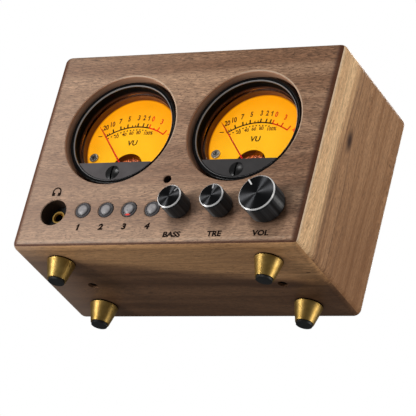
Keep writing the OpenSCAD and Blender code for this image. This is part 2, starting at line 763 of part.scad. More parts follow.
// ---- Buttons ----
module button(i) color("#8f9196") at_front(button_xs[i], control_z) {
    dome_r = (button_dome_r * button_dome_r + button_dome_h * button_dome_h) / (2 * button_dome_h);
    turned() difference() {
        polygon([
            [0, button_face], [button_r - button_lip, button_face], [button_r, button_face + button_lip],
            [button_r, button_back_y], [button_r + button_rim, button_back_y],
            [button_r + button_rim, button_rim_y], [stem_r, button_rim_y],
            [stem_r, stem_end_y], [0, stem_end_y]]);
        translate([button_dome_r + button_groove / 2, button_face]) circle(r = button_groove / 2);
    }
    intersection() {
        rod_y(button_dome_r, button_face - button_dome_h, button_face + over);
        translate([0, button_face - button_dome_h + dome_r, 0]) sphere(r = dome_r);
    }
}
module tact_switches() color("#303236") for (x = button_xs) at_front(x, control_z) {
    block(switch_w, control_y - switch_t, control_y, switch_w);
    rod_y(stem_r, plunger_y, control_y - switch_t + eps);
}
module button_lamps() color("#d8413a") for (x = button_xs)
    at_front(x, control_z - signal_drop) block(signal_w, control_y - signal_t, control_y, signal_h);

// ---- Control board ----
module control_board() color("#1e3d2c") in_cabinet() difference() {
    slab_y(control_y, control_y + pcb_t) union() {
        translate([-control_edge, pcb_low]) square([2 * control_edge, pcb_top - pcb_low]);
        translate([-tab_half, pcb_low]) square([2 * tab_half, tab_top - pcb_low]);
    }
    for (sx = [-1, 1], z = spacer_zs) translate([sx * spacer_x, 0, z]) rod_y(screw_r + loose, 0, far);
}
module board_spacers() color("#bfc1c4") in_cabinet() {
    for (sx = [-1, 1], z = spacer_zs) translate([sx * spacer_x, 0, z])
        tube_y(spacer_r, screw_r + run_fit, board_t, control_y);
    for (sx = [-1, 1], y = main_ys) translate([sx * bottom_screw_x, y, board_t + sheet_t]) difference() {
        cylinder(r = main_spacer_r, h = main_spacer_h);
        translate([0, 0, -over]) cylinder(r = bottom_screw_r + run_fit, h = main_spacer_h + 2 * over);
    }
}
module board_screws() color("#a8acb2") in_cabinet() {
    for (sx = [-1, 1], z = spacer_zs) translate([sx * spacer_x, 0, z])
        screw_forward(screw_r, pan_r, pan_h, control_y + pcb_t, control_y + pcb_t - board_t + wood_bite);
    for (sx = [-1, 1], y = main_ys) translate([sx * bottom_screw_x, y, main_top]) mirror([0, 0, 1])
        screw_up(bottom_screw_r, pan_r, pan_h, pcb_t + main_bite);
}
module bottom_screws() color("#4a4745") in_cabinet() for (sx = [-1, 1])
    translate([sx * bottom_screw_x, bottom_screw_y, bottom_sink])
        screw_up(bottom_screw_r, bottom_head_r, pan_h, board_t - bottom_sink + sheet_t + bottom_bite);

// ---- Headphone socket and remote receiver ----
module headphone_jack() color("#121212") at_front(jack_x, jack_z) difference() {
    union() {
        rod_y(jack_plate_r, board_t, board_t + jack_plate_t);
        block(jack_w, board_t, control_y, jack_w);
    }
    rod_y(sleeve_r + seat_fit, 0, sleeve_end_y);
}
module jack_sleeve() color("#d9b45a") at_front(jack_x, jack_z) difference() {
    rod_y(sleeve_r, sleeve_y, sleeve_end_y);
    rod_y(plug_r, sleeve_y - over, plug_end_y);
    turned() polygon([
        [0, sleeve_y - over], [plug_r + sleeve_mouth + over, sleeve_y - over],
        [plug_r, sleeve_y + sleeve_mouth], [0, sleeve_y + sleeve_mouth]]);
}
module remote_receiver() color("#0c0c0e") at_front(0, ir_z) {
    intersection() {
        rod_y(ir_r, ir_y, control_y - ir_d + eps);
        translate([0, ir_y + ir_dome_r, 0]) union() {
            sphere(r = ir_dome_r);
            rod_y(ir_dome_r, 0, far);
        }
    }
    block(ir_w, control_y - ir_d, control_y, ir_h);
}

// ---- Main board and rear sockets ----
module main_board() color("#1e3d2c") in_cabinet() difference() {
    translate([-main_half, main_front_y, main_z])
        cube([2 * main_half, panel_y - main_rear_gap - main_front_y, pcb_t]);
    for (sx = [-1, 1], y = main_ys) translate([sx * bottom_screw_x, y, 0])
        cylinder(r = bottom_screw_r + loose, h = cab_h);
}
module capacitors() color("#22262e") in_cabinet() for (x = cap_xs)
    translate([x, cap_y, main_top]) cylinder(r = cap_r, h = cap_h);
module phono_shells() color("#d9b45a") for (x = phono_xs) at_front(x, phono_z) difference() {
    union() {
        rod_y(phono_r, panel_y, phono_end_y);
        rod_y(phono_flange_r, panel_y + sheet_t, panel_y + sheet_t + phono_flange_t);
    }
    rod_y(phono_r - phono_wall, panel_y - over, phono_end_y + over);
}
module phono_bodies() color("#e7e4dd") for (x = phono_xs) at_front(x, phono_z) difference() {
    union() {
        block(phono_w, panel_y - phono_d, panel_y, 2 * (phono_z - main_top));
        rod_y(phono_r - phono_wall - seat_fit, panel_y - eps, phono_face_y);
    }
    rod_y(phono_pin_r, phono_face_y - phono_pin_len, phono_end_y);
}
module power_inlet() color("#141414") at_front(inlet_x, inlet_z) difference() {
    union() {
        block(inlet_w, panel_y - inlet_d, panel_y, inlet_h);
        rod_y(inlet_nose_r, panel_y - eps, panel_y + sheet_t);
    }
    tube_y(inlet_bore_r, inlet_pin_r, panel_y + sheet_t - inlet_depth, cab_d + over);
}

front_board();
top_board();
bottom_board();
left_board();
right_board();
rear_chassis();
feet();
foot_pads();
foot_screws();
case_body(-1);  // left_case
bezel(-1);  // left_bezel
window(-1);  // left_window
mask(-1);  // left_mask
dial(-1);  // left_dial
zero_screw(-1);  // left_zero_screw
zero_lever(-1);  // left_zero_lever
needle(-1);  // left_needle
coil(-1);  // left_coil
movement_frame(-1);  // left_movement_frame
magnet_core(-1);  // left_magnet_core
case_body(1);  // right_case
bezel(1);  // right_bezel
window(1);  // right_window
mask(1);  // right_mask
dial(1);  // right_dial
zero_screw(1);  // right_zero_screw
zero_lever(1);  // right_zero_lever
needle(1);  // right_needle
coil(1);  // right_coil
movement_frame(1);  // right_movement_frame
magnet_core(1);  // right_magnet_core
dial_lamps();
dial_screws();
meter_screws();
meter_terminals();
knob(0, tone_r, tone_proud, tone_mark_in);  // bass_knob
knob(1, tone_r, tone_proud, tone_mark_in);  // treble_knob
knob(2, volume_r, volume_proud, volume_mark_in);  // volume_knob
shaft(0, tone_proud);  // bass_shaft
shaft(1, tone_proud);  // treble_shaft
shaft(2, volume_proud);  // volume_shaft
potentiometers();
button(0);  // button_1
button(1);  // button_2
button(2);  // button_3
button(3);  // button_4
tact_switches();
button_lamps();
control_board();
board_spacers();
board_screws();
bottom_screws();
headphone_jack();
jack_sleeve();
remote_receiver();
main_board();
capacitors();
phono_shells();
phono_bodies();
power_inlet();
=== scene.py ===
from math import cos, radians, sin, tau

import bmesh
import bpy
from mathutils import Matrix, Vector


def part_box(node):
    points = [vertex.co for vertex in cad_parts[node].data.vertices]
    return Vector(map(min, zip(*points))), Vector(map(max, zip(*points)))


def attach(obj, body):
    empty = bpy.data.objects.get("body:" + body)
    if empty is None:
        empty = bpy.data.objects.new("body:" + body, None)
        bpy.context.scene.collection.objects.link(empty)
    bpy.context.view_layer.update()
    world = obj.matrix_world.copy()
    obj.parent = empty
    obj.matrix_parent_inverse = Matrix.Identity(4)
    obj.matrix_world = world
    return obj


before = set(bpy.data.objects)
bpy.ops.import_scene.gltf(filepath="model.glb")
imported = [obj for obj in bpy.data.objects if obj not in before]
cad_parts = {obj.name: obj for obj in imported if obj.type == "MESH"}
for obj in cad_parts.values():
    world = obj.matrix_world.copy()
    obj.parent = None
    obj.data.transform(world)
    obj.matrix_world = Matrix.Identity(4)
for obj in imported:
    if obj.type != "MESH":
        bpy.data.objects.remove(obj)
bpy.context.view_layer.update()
mm = 0.001

# The front face and the underside of the cabinet, from the CAD frame
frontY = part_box("front_board")[0].y
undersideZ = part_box("bottom_board")[0].z
frontMm, undersideMm = frontY / mm, undersideZ / mm


def middleOf(node):
    low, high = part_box(node)
    return (low + high) / 2


def halfWidthOf(node):
    low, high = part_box(node)
    return (high.x - low.x) / 2 / mm


receiverHeight = 36.7
meterSides = ["left", "right"]
meterCentres = {side: middleOf(side + "_bezel") for side in meterSides}
knobNames = ["bass", "treble", "volume"]
knobCentres = {name: middleOf(name + "_knob") for name in knobNames}
buttonCentres = [middleOf("button_" + str(i)) for i in range(1, 5)]
jackCentre = middleOf("jack_sleeve")
receiverCentre = Vector((0, frontY, undersideZ + receiverHeight * mm))


def setAll(thing, **settings):
    for key, value in settings.items():
        setattr(thing, key, value)
    return thing


# A new shader node's outputs. Its inputs are linked to sockets or set to constants
def addNode(tree, kind, settings=None, inputs=None):
    node = setAll(tree.nodes.new("ShaderNode" + kind), **(settings or {}))
    for key, value in (inputs or {}).items():
        if isinstance(value, bpy.types.NodeSocket):
            tree.links.new(value, node.inputs[key])
        else:
            node.inputs[key].default_value = value
    return node.outputs


# The same in the tree that its inputs come from
def derive(kind, settings, inputs):
    tree = next(value.id_data for value in inputs.values() if isinstance(value, bpy.types.NodeSocket))
    return addNode(tree, kind, settings, inputs)


def calc(operation, *values):
    return derive("Math", {"operation": operation}, dict(enumerate(values)))[0]


def times(first, second):
    return calc("MULTIPLY", first, second)


def plus(first, second):
    return calc("ADD", first, second)


def minus(first, second):
    return calc("SUBTRACT", first, second)


def vectorCalc(operation, *values):
    return derive("VectorMath", {"operation": operation}, dict(enumerate(values)))[0]


def splitVector(vector):
    return derive("SeparateXYZ", None, {0: vector})


def joinVector(x, y, z):
    return derive("CombineXYZ", None, {0: x, 1: y, 2: z})[0]


# A place squeezed along its axes, so that a pattern on it becomes streaks
def squeezed(values, factors):
    return joinVector(*[times(value, factor) if factor else 0.0 for value, factor in zip(values, factors)])


def blend(factor, first, second):
    inputs = {0: factor, 6: first, 7: second}
    return derive("Mix", {"data_type": "RGBA"}, inputs)[2]


def fade(value, low, high, start=0.0, end=1.0):
    inputs = {0: value, 1: low, 2: high, 3: start, 4: end}
    return derive("MapRange", {"interpolation_type": "SMOOTHSTEP"}, inputs)[0]


# Full at a middle value, gone at the distance reach to either side
def bandAbout(value, middle, solid, reach, strength=1.0):
    return fade(calc("ABSOLUTE", minus(value, middle)), solid, reach, strength, 0.0)


def noise(vector, scale, detail, roughness=0.5):
    inputs = {"Vector": vector, "Scale": scale, "Detail": detail, "Roughness": roughness}
    return derive("TexNoise", None, inputs)[0]


# The part's own place in millimetres, or the place from a centre
def placeInMm(tree, centre=(0, 0, 0)):
    coords = addNode(tree, "TexCoord")["Object"]
    shifted = vectorCalc("SUBTRACT", coords, tuple(centre))
    return vectorCalc("MULTIPLY", shifted, (1000, 1000, 1000))


def axesInMm(tree, centre=(0, 0, 0)):
    return splitVector(placeInMm(tree, centre))


def radiusAboutY(x, z):
    return calc("SQRT", plus(times(x, x), times(z, z)))


# Distance from a point on two axes, measured in halves of an oval's widths
def ovalFrom(axes, point, halves=(1.0, 1.0)):
    shares = [calc("DIVIDE", minus(axis, at), half) for axis, at, half in zip(axes, point, halves)]
    return radiusAboutY(*shares)


# Millimetres from the axis of the nearer meter: across, up and straight
def fromMeter(axes):
    x = minus(calc("ABSOLUTE", axes[0]), meterCentres["right"].x / mm)
    z = minus(axes[2], meterCentres["right"].z / mm)
    return x, z, radiusAboutY(x, z)


def srgb(red, green, blue):
    def toLinear(value):
        value = value / 255
        return value / 12.92 if value <= 0.04045 else ((value + 0.055) / 1.055) ** 2.4
    return (toLinear(red), toLinear(green), toLinear(blue), 1)


def newMaterial(name, **constants):
    material = bpy.data.materials.new(name)
    material.use_nodes = True
    surface = material.node_tree.nodes["Principled BSDF"]
    for key, value in constants.items():
        surface.inputs[key.replace("_", " ")].default_value = value
    return material, material.node_tree


def wire(node, **sources):
    for key, value in sources.items():
        node.id_data.links.new(value, node.inputs[key.replace("_", " ")])


# Wires what varies over the material's surface
def paint(material, **sources):
    wire(material.node_tree.nodes["Principled BSDF"], **sources)
    return material


# The same, with a pattern's height as a bump. The look gives its strength, and its depth in millimetres
def dress(material, pattern, look, **sources):
    strength, depth = look["bump"]
    inputs = {"Strength": strength, "Distance": depth * mm, "Height": pattern["Height"]}
    return paint(material, Normal=derive("Bump", None, inputs)[0], **sources)


def addObject(name, data):
    added = bpy.data.objects.new(name, data)
    bpy.context.scene.collection.objects.link(added)
    return added


# The names of inputs and outputs are listed by their kind
def newGroup(name, inputs, outputs):
    group = bpy.data.node_groups.new(name, "ShaderNodeTree")
    for way, sockets in (("INPUT", inputs), ("OUTPUT", outputs)):
        for kind, names in sockets.items():
            for one in names:
                group.interface.new_socket(name=one, in_out=way, socket_type="NodeSocket" + kind)
    return group, group.nodes.new("NodeGroupInput").outputs, group.nodes.new("NodeGroupOutput")


def useGroup(tree, group, inputs):
    return addNode(tree, "Group", {"node_tree": group}, inputs)


# A look gives the scales of its grain and its blotches
def wearOn(tree, look):
    grainScale, blotchScale = look["wear"]
    inputs = {"Place": placeInMm(tree), "Grain": grainScale, "Blotch": blotchScale}
    return useGroup(tree, surfaceWear, inputs)


def mottled(wear):
    return times(plus(wear["Blotches"], wear["Speckle"]), 0.5)


def mixShaders(factor, first, second):
    return derive("MixShader", None, {0: factor, 1: first, 2: second})[0]


# Where the mask is full, the surface lets everything through
def clearWhere(tree, mask):
    surface = tree.nodes["Principled BSDF"].outputs[0]
    both = mixShaders(mask, surface, addNode(tree, "BsdfTransparent")[0])
    wire(tree.nodes["Material Output"], Surface=both)


# Walnut has wandering bands of dark and light, fine fibres and short dark pores along the grain
grain = {"wander": (0.011, 0.05, 0.05), "bend": 16.0, "bandAlong": 0.004, "bandDepth": 0.08,
         "fibre": (0.22, 2.3, 1.5), "pore": (0.6, 3.0, 3.0), "poreColour": srgb(38, 20, 12), "poreDark": 0.75,
         "rough": (0.42, 0.62)}


def makeWalnutFigure():
    group, given, out = newGroup(
        "walnutFigure",
        {"Float": ["Along", "Across", "Depth", "Band Width", "Pores", "Fibre"], "Color": ["Light", "Dark"]},
        {"Color": ["Colour"], "Float": ["Roughness", "Height"]})
    along, across, depth = given["Along"], given["Across"], given["Depth"]
    wander = noise(squeezed((along, across, depth), grain["wander"]), 1.0, 3.0)
    ring = plus(across, times(minus(wander, 0.5), grain["bend"]))
    bandPlace = joinVector(times(along, grain["bandAlong"]), calc("DIVIDE", ring, given["Band Width"]),
                           times(depth, grain["bandDepth"]))
    band = fade(noise(bandPlace, 1.0, 4.0, 0.55), 0.32, 0.68)
    fibre = noise(squeezed((along, ring, depth), grain["fibre"]), 1.0, 3.0, 0.65)
    pore = noise(squeezed((along, ring, depth), grain["pore"]), 1.0, 1.0)
    poreMask = times(fade(pore, 0.56, 0.7), given["Pores"])
    darker, lighter = minus(1.0, given["Fibre"]), plus(1.0, given["Fibre"])
    shade = fade(fibre, 0.25, 0.75, darker, lighter)
    shaded = vectorCalc("SCALE", blend(band, given["Dark"], given["Light"]))
    wire(shaded.node, Scale=shade)
    poreColour = blend(grain["poreDark"], given["Dark"], grain["poreColour"])
    wire(out, Colour=blend(poreMask, shaded, poreColour),
         Roughness=fade(fibre, 0.2, 0.8, *grain["rough"]), Height=minus(fibre, poreMask))
    return group


# Soft blotches, speckle and a fine height for metals, plastics, rubber and paint
def makeSurfaceWear():
    group, given, out = newGroup(
        "surfaceWear", {"Vector": ["Place"], "Float": ["Grain", "Blotch"]},
        {"Float": ["Speckle", "Blotches", "Height"]})
    speckle = noise(given["Place"], given["Grain"], 2.0)
    blotches = noise(given["Place"], given["Blotch"], 3.0, 0.6)
    wire(out, Speckle=speckle, Blotches=fade(blotches, 0.3, 0.7),
         Height=plus(speckle, times(blotches, 0.3)))
    return group


# Tool marks of a lathe: rings that follow one distance, uneven from ring to ring
def makeTurnedLines():
    group, given, out = newGroup(
        "turnedLines", {"Float": ["Distance", "Pitch", "Wander"]}, {"Float": ["Lines", "Height"]})
    steps = calc("DIVIDE", given["Distance"], given["Pitch"])
    uneven = noise(joinVector(steps, given["Wander"], 0.0), 0.35, 3.0, 0.7)
    wave = calc("SINE", times(steps, tau))
    wire(out, Lines=uneven, Height=plus(times(wave, 0.35), uneven))
    return group


walnutFigure = makeWalnutFigure()
surfaceWear = makeSurfaceWear()
turnedLines = makeTurnedLines()
print("stage: shared effects built")


# Two colours in brackets are blended. Those of a wood tone are its light and dark bands
walnut = {
    "front": (srgb(190, 152, 122), srgb(142, 104, 78)), "heart": (srgb(178, 135, 98), srgb(152, 110, 76)),
    # Both underside tones are darker, as painted shade
    "under": (srgb(122, 88, 62), srgb(92, 63, 43)), "underSap": (srgb(232, 178, 124), srgb(196, 144, 96)),
    "sap": (srgb(247, 206, 157), srgb(214, 169, 124)),
    # All these colours but the knot's paint light and shade onto the wood
    "knot": srgb(58, 36, 28), "shade": srgb(66, 42, 28), "boreShade": srgb(28, 16, 10),
    "edgeShade": srgb(84, 42, 22), "wearAndHighlight": srgb(214, 186, 160), "edgeHighlight": srgb(246, 222, 192),
    "boreLight": srgb(220, 166, 132), "pale": srgb(178, 156, 142), "deep": srgb(118, 76, 44),
    "shine": 0.22, "bump": (0.35, 0.05),
}
# Millimetres back from the front face
sapEdges = {"right": {"back": 12.3, "lean": 0.045, "wander": 9.0},
            "bottom": {"back": 21.0, "lean": 0.19, "wander": 8.0, "fullSpan": (40.0, 76.0)}}


# How far a place lies inside a pale band whose edge leans and wanders
def sapReach(axes, edge, along, streaks):
    line = plus(times(along, edge["lean"]), frontMm + edge["back"])
    wander = times(noise(streaks, 1.0, 3.0), edge["wander"])
    return minus(plus(line, wander), axes[1])


# The pale band at the front of the right side narrows downwards
def rightSapwood(axes):
    streaks = squeezed((axes[1], 0.0, axes[2]), (0.5, 0.0, 0.02))
    return fade(sapReach(axes, sapEdges["right"], axes[2], streaks), -1.0, 7.0)


# On the bottom the band widens to the right, with darker veins in it
def bottomSapwood(axes):
    edge = sapEdges["bottom"]
    reach = sapReach(axes, edge, axes[0], squeezed(axes, (0.025, 0.3, 0.0)))
    streaks = noise(squeezed(axes, (0.02, 1.0, 0.0)), 0.8, 2.0)
    veins = fade(streaks, 0.42, 0.66, 0.88, 0.62)
    fuller = fade(axes[0], *edge["fullSpan"], 0.72, 1.0)
    return times(times(fade(reach, -5.0, 5.0), veins), fuller)


under = {"paleSpan": (-79.0, -48.0), "pale": 0.42, "slit": (72.6, frontMm + 28.7),
         "slitHalves": (1.5, 0.5), "slitDark": 0.8}


# Painted light lightens the bottom towards its left edge
def bottomPaintedLight(axes):
    return fade(axes[0], *under["paleSpan"], under["pale"], 0.0)


# A short dark slit in the bottom, near its right edge
def bottomSlit(axes):
    return fade(ovalFrom(axes[:2], under["slit"], under["slitHalves"]), 0.5, 1.2, under["slitDark"], 0.0)


right = {"knot": (frontMm + 24.7, undersideMm + 70.0), "knotHalves": (4.0, 8.5), "knotDark": 0.97,
         "swerve": 2.2, "lean": 0.02, "lineSqueeze": (0.62, 0.0, 0.012), "lines": 0.36,
         "linesMiddle": frontMm + 23.0, "deepest": 0.44, "deepHeights": (25.0, 105.0),
         "deepDepths": (-12.0, 12.0), "highlightDepths": (frontMm + 1.3, frontMm + 2.3)}


# A dark knot in the right side, and thin dark growth lines that swerve round it
def rightKnot(axes):
    away = ovalFrom(axes[1:], right["knot"], right["knotHalves"])
    core = fade(away, 0.1, 1.1, right["knotDark"], 0.0)
    swerve = fade(away, 0.0, 3.5, right["swerve"], 0.0)
    line = plus(plus(axes[1], swerve), times(axes[2], right["lean"]))
    streaks = noise(squeezed((line, 0.0, axes[2]), right["lineSqueeze"]), 1.0, 2.0)
    fromMiddle = calc("ABSOLUTE", minus(axes[1], right["linesMiddle"]))
    zone = fade(fromMiddle, 6.0, 22.0, 1.0, 0.15)
    lines = times(fade(streaks, 0.5, 0.64, 0.0, right["lines"]), zone)
    return calc("MAXIMUM", core, lines)


front = {"edgeShadeFrom": 3.6, "edgeShadeTo": 1.2, "edgeShadeHeights": (1.7, 2.5), "edgeShade": 0.85,
         "pale": 0.5, "paleSpan": (-60.0, 150.0), "deep": 0.08, "deepSpan": (-20.0, 110.0),
         "highlightHeight": 3.4, "wear": 0.45, "boreDark": 0.9, "boreReach": 2.0, "rimGap": 1.75,
         "rim": 0.9, "shade": 0.62, "shadeReach": 4.5, "shadeRight": 1.6, "shadeDown": 0.8,
         "jackBore": 7.4, "receiverBore": 2.4, "buttonBore": 4.7}


# Painted shade darkens the front's rounded ends and lower edge to a deep red brown
def frontEdgeShade(axes):
    end = halfWidthOf("front_board")
    ends = fade(calc("ABSOLUTE", axes[0]), end - front["edgeShadeFrom"], end - front["edgeShadeTo"])
    height = minus(axes[2], undersideMm)
    lower = fade(height, *front["edgeShadeHeights"], 1.0, 0.0)
    return times(calc("MAXIMUM", ends, lower), front["edgeShade"])


# Painted light lightens the front a little to the left, and painted shade deepens it to the right
def frontPaintedLight(axes):
    return fade(plus(axes[0], times(axes[2], 0.9)), *front["paleSpan"], front["pale"], 0.0)


def frontPaintedShade(axes):
    return fade(plus(axes[0], times(axes[2], 0.3)), *front["deepSpan"], 0.0, front["deep"])


# Above the edge shade, a painted highlight runs unevenly along the lower edge
def frontEdgeHighlight(axes):
    line = bandAbout(axes[2], undersideMm + front["highlightHeight"], 0.1, 0.8, front["wear"])
    uneven = noise(squeezed(axes, (0.4, 0.0, 0.0)), 1.0, 3.0)
    return times(line, fade(uneven, 0.3, 0.6))


# Painted shade deepens the right side low down and towards its back
def rightPaintedShade(axes):
    low = fade(axes[2], *right["deepHeights"], right["deepest"], 0.0)
    return times(low, fade(axes[1], *right["deepDepths"]))


# A painted highlight runs along the rounded front edge of the right side
def rightEdgeHighlight(axes):
    uneven = noise(squeezed(axes, (0.0, 0.0, 0.6)), 1.0, 3.0)
    line = fade(axes[1], *right["highlightDepths"], 1.0, 0.0)
    return times(line, fade(uneven, 0.2, 0.6, 0.3, 0.8))


# Painted light lightens the walls of the meter bores
def meterBoreLight(axes):
    radius = fromMeter(axes)[2]
    behindFace = fade(axes[1], frontMm + 0.1, frontMm + 0.4)
    wall = calc("LESS_THAN", radius, halfWidthOf("right_bezel") + front["boreReach"])
    return times(times(wall, behindFace), front["boreDark"])


# Painted highlight on the rims of the meter bores, at the upper right
def boreRimHighlight(axes):
    x, z, radius = fromMeter(axes)
    rim = halfWidthOf("right_bezel") + front["rimGap"]
    ring = bandAbout(radius, rim, 0.25, 0.55, front["rim"])
    upperRight = plus(times(x, calc("SIGN", axes[0])), z)
    return times(ring, fade(upperRight, 8.0, 30.0))


# Painted shadow darkens the wood round the knobs, most at the lower right
def paintedKnobShadow(axes):
    near = 0.0
    for name in knobNames:
        x, z = knobCentres[name].x / mm + front["shadeRight"], knobCentres[name].z / mm - front["shadeDown"]
        away = ovalFrom((axes[0], axes[2]), (x, z))
        edge = halfWidthOf(name + "_knob")
        shade = fade(away, edge - 1.0, edge + front["shadeReach"], front["shade"], 0.0)
        near = calc("MAXIMUM", near, shade)
    return near


# Painted shade darkens the walls of the small bores in the front
def frontBoreShade(axes):
    bores = [(jackCentre, front["jackBore"]), (receiverCentre, front["receiverBore"])]
    bores += [(centre, front["buttonBore"]) for centre in buttonCentres]
    near = 0.0
    for centre, reach in bores:
        away = ovalFrom((axes[0], axes[2]), (centre.x / mm, centre.z / mm))
        near = calc("MAXIMUM", near, calc("LESS_THAN", away, reach))
    behindFace = fade(axes[1], frontMm + 0.3, frontMm + 0.8)
    return times(times(near, behindFace), front["boreDark"])


# Grain gives the part's axes along, across and into the figure. A mark is a mask function and its colour
plainBoard = {"tone": "heart", "grain": (0, 1, 2), "bandWidth": 6.0, "pores": 0.5, "fibre": 0.3,
              "offset": 0.0, "sapwood": None, "marks": []}
boards = {
    "front_board": {
        "tone": "front", "grain": (0, 2, 1), "bandWidth": 12.0, "pores": 0.8, "fibre": 0.62, "offset": 40.0,
        "marks": [(frontPaintedLight, "pale"), (frontPaintedShade, "deep"), (paintedKnobShadow, "shade"), (boreRimHighlight, "wearAndHighlight"),
                  (frontEdgeHighlight, "wearAndHighlight"), (frontEdgeShade, "edgeShade"), (frontBoreShade, "boreShade"),
                  (meterBoreLight, "boreLight")]},
    "top_board": {},
    "bottom_board": {
        "tone": "under", "bandWidth": 9.0, "pores": 0.4, "fibre": 0.26, "offset": 210.0,
        "sapwood": bottomSapwood, "sapTone": "underSap",
        "marks": [(bottomPaintedLight, "pale"), (bottomSlit, "knot")]},
    "left_board": {"grain": (2, 1, 0), "offset": 90.0},
    "right_board": {
        "grain": (2, 1, 0), "bandWidth": 3.6, "fibre": 0.34, "offset": 300.0, "sapwood": rightSapwood,
        "sapTone": "sap", "marks": [(rightPaintedShade, "deep"), (rightKnot, "knot"), (rightEdgeHighlight, "edgeHighlight")]},
}


def makeWalnut(node):
    board = {**plainBoard, **boards[node]}
    name = "walnut" + node.split("_")[0].capitalize()
    material, tree = newMaterial(name, Specular_IOR_Level=walnut["shine"])
    axes = axesInMm(tree)
    along, across, depth = [axes[i] for i in board["grain"]]
    light, dark = walnut[board["tone"]]
    if board["sapwood"]:
        mask, sap = board["sapwood"](axes), walnut[board["sapTone"]]
        light, dark = blend(mask, light, sap[0]), blend(mask, dark, sap[1])
    figure = useGroup(tree, walnutFigure, {
        "Along": plus(along, board["offset"]), "Across": across, "Depth": depth, "Light": light, "Dark": dark,
        "Band Width": board["bandWidth"], "Pores": board["pores"], "Fibre": board["fibre"]})
    colour = figure["Colour"]
    for mark, markColour in board["marks"]:
        colour = blend(mark(axes), colour, walnut[markColour])
    return dress(material, figure, walnut, Base_Color=colour, Roughness=figure["Roughness"])


walnutMaterials = {node: makeWalnut(node) for node in boards}
print("stage: walnut mixed")


# The plain finishes of metal, plastic and rubber
def makeFinish(name, colour, roughness, metallic=0.0, grain=3.0, blotch=0.15, bump=0.1, spread=0.16, coat=0.0,
               shine=0.5):
    material, tree = newMaterial(name, Metallic=metallic, Coat_Weight=coat, Specular_IOR_Level=shine)
    look = {"wear": (grain, blotch), "bump": (bump, 0.03)}
    wear = wearOn(tree, look)
    darker, lighter = [tuple(min(1, c * share) for c in colour[:3]) + (1,)
                       for share in (1 - spread, 1 + spread)]
    return dress(material, wear, look, Base_Color=blend(mottled(wear), darker, lighter),
                 Roughness=fade(wear["Blotches"], 0.0, 1.0, roughness * 0.85, roughness * 1.15))


finishes = {
    "black_steel": makeFinish("powderCoat", srgb(30, 31, 33), 0.55, grain=4.0, bump=0.8, spread=0.05),
    "foot_rubber": makeFinish("footRubber", srgb(22, 24, 26), 0.5, grain=6.0, bump=0.3),
    "zinc_steel": makeFinish("zincSteel", srgb(176, 178, 182), 0.3, 1.0, grain=4.0),
    "black_screws": makeFinish("blackScrews", srgb(30, 29, 29), 0.35, 0.9, grain=4.0),
    "meter_black": makeFinish("meterBlack", srgb(104, 62, 42), 0.5, grain=4.0),
    "pointer_red": makeFinish("pointerRed", srgb(180, 18, 6), 0.5, grain=2.0, shine=0.2),
    "lever_brass": makeFinish("leverBrass", srgb(202, 160, 88), 0.3, 1.0),
    "core_iron": makeFinish("coreIron", srgb(120, 118, 114), 0.4, 0.9, grain=3.0, bump=0.3),
    "dull_steel": makeFinish("dullSteel", srgb(172, 164, 154), 0.35, 1.0, grain=4.0),
    "lamp_board": makeFinish("lampBoard", srgb(232, 226, 208), 0.5),
    "pot_body": makeFinish("potBody", srgb(60, 82, 112), 0.45),
    "switch_black": makeFinish("switchBlack", srgb(36, 37, 40), 0.45),
    "signal_red": makeFinish("signalRed", srgb(210, 40, 30), 0.25, coat=0.5),
    "circuit_green": makeFinish("circuitGreen", srgb(24, 66, 42), 0.35, grain=1.2, blotch=0.3, coat=0.4),
    "receiver_black": makeFinish("receiverBlack", srgb(20, 12, 14), 0.12, grain=1.0, coat=0.6),
    "zero_black": makeFinish("zeroScrewBlack", srgb(40, 40, 41), 0.3, 0.6, grain=3.0),
    "capacitor_sleeve": makeFinish("capacitorSleeve", srgb(30, 40, 66), 0.3, coat=0.4),
}


# The joint is a dark line on the feet, just under the wood
brass = {"metal": (srgb(198, 166, 98), srgb(168, 136, 72)), "joint": srgb(34, 24, 14),
         "jointHeight": 1.0, "rough": 0.44, "linePitch": 0.3, "wear": (2.0, 0.25), "bump": (0.02, 0.01)}


def makeTurnedBrass():
    material, tree = newMaterial("satinBrass", Metallic=1.0)
    height = axesInMm(tree)[2]
    wear = wearOn(tree, brass)
    lines = useGroup(tree, turnedLines, {"Distance": height, "Pitch": brass["linePitch"], "Wander": 0.0})
    colour = blend(wear["Blotches"], *brass["metal"])
    jointFrom = undersideMm - brass["jointHeight"]
    joint = fade(height, jointFrom, jointFrom + 0.3)
    return dress(material, lines, brass, Base_Color=blend(joint, colour, brass["joint"]),
                 Roughness=plus(times(lines["Lines"], 0.06), brass["rough"] - 0.03))


# Painted shade darkens the jack's face towards its hole, and darker still in the hole
gold = {"metal": (srgb(255, 216, 128), srgb(232, 184, 92)), "dishShade": srgb(150, 104, 34),
        "hole": srgb(46, 26, 8), "holeRadius": 1.95, "dishFrom": 2.4, "dishTo": 2.7,
        "wear": (5.0, 0.5), "bump": (0.15, 0.02), "rough": (0.3, 0.42)}


def makeGold():
    material, tree = newMaterial("goldPlate", Metallic=1.0)
    wear = wearOn(tree, gold)
    colour = blend(wear["Blotches"], *gold["metal"])
    axes = axesInMm(tree, jackCentre)
    farBack = times(axes[1], 0.2)      # keeps the jack's colours off the rear sockets
    radius = calc("MAXIMUM", radiusAboutY(axes[0], axes[2]), farBack)
    dishShade = blend(fade(radius, gold["dishFrom"], gold["dishTo"]), gold["dishShade"], colour)
    hole = calc("LESS_THAN", radius, gold["holeRadius"])
    return dress(material, wear, gold, Base_Color=blend(hole, dishShade, gold["hole"]),
                 Roughness=fade(wear["Speckle"], 0.3, 0.7, *gold["rough"]))


# The coils' wire has darker gaps, and a painted glow with painted glints stands in for the lamps behind the
# dials
copper = {"wire": (srgb(92, 38, 18), srgb(214, 112, 58)), "lit": (srgb(40, 8, 4), srgb(250, 120, 50)),
          "glow": 0.35, "pitch": 0.35, "bump": (0.6, 0.08), "rough": (0.3, 0.5)}


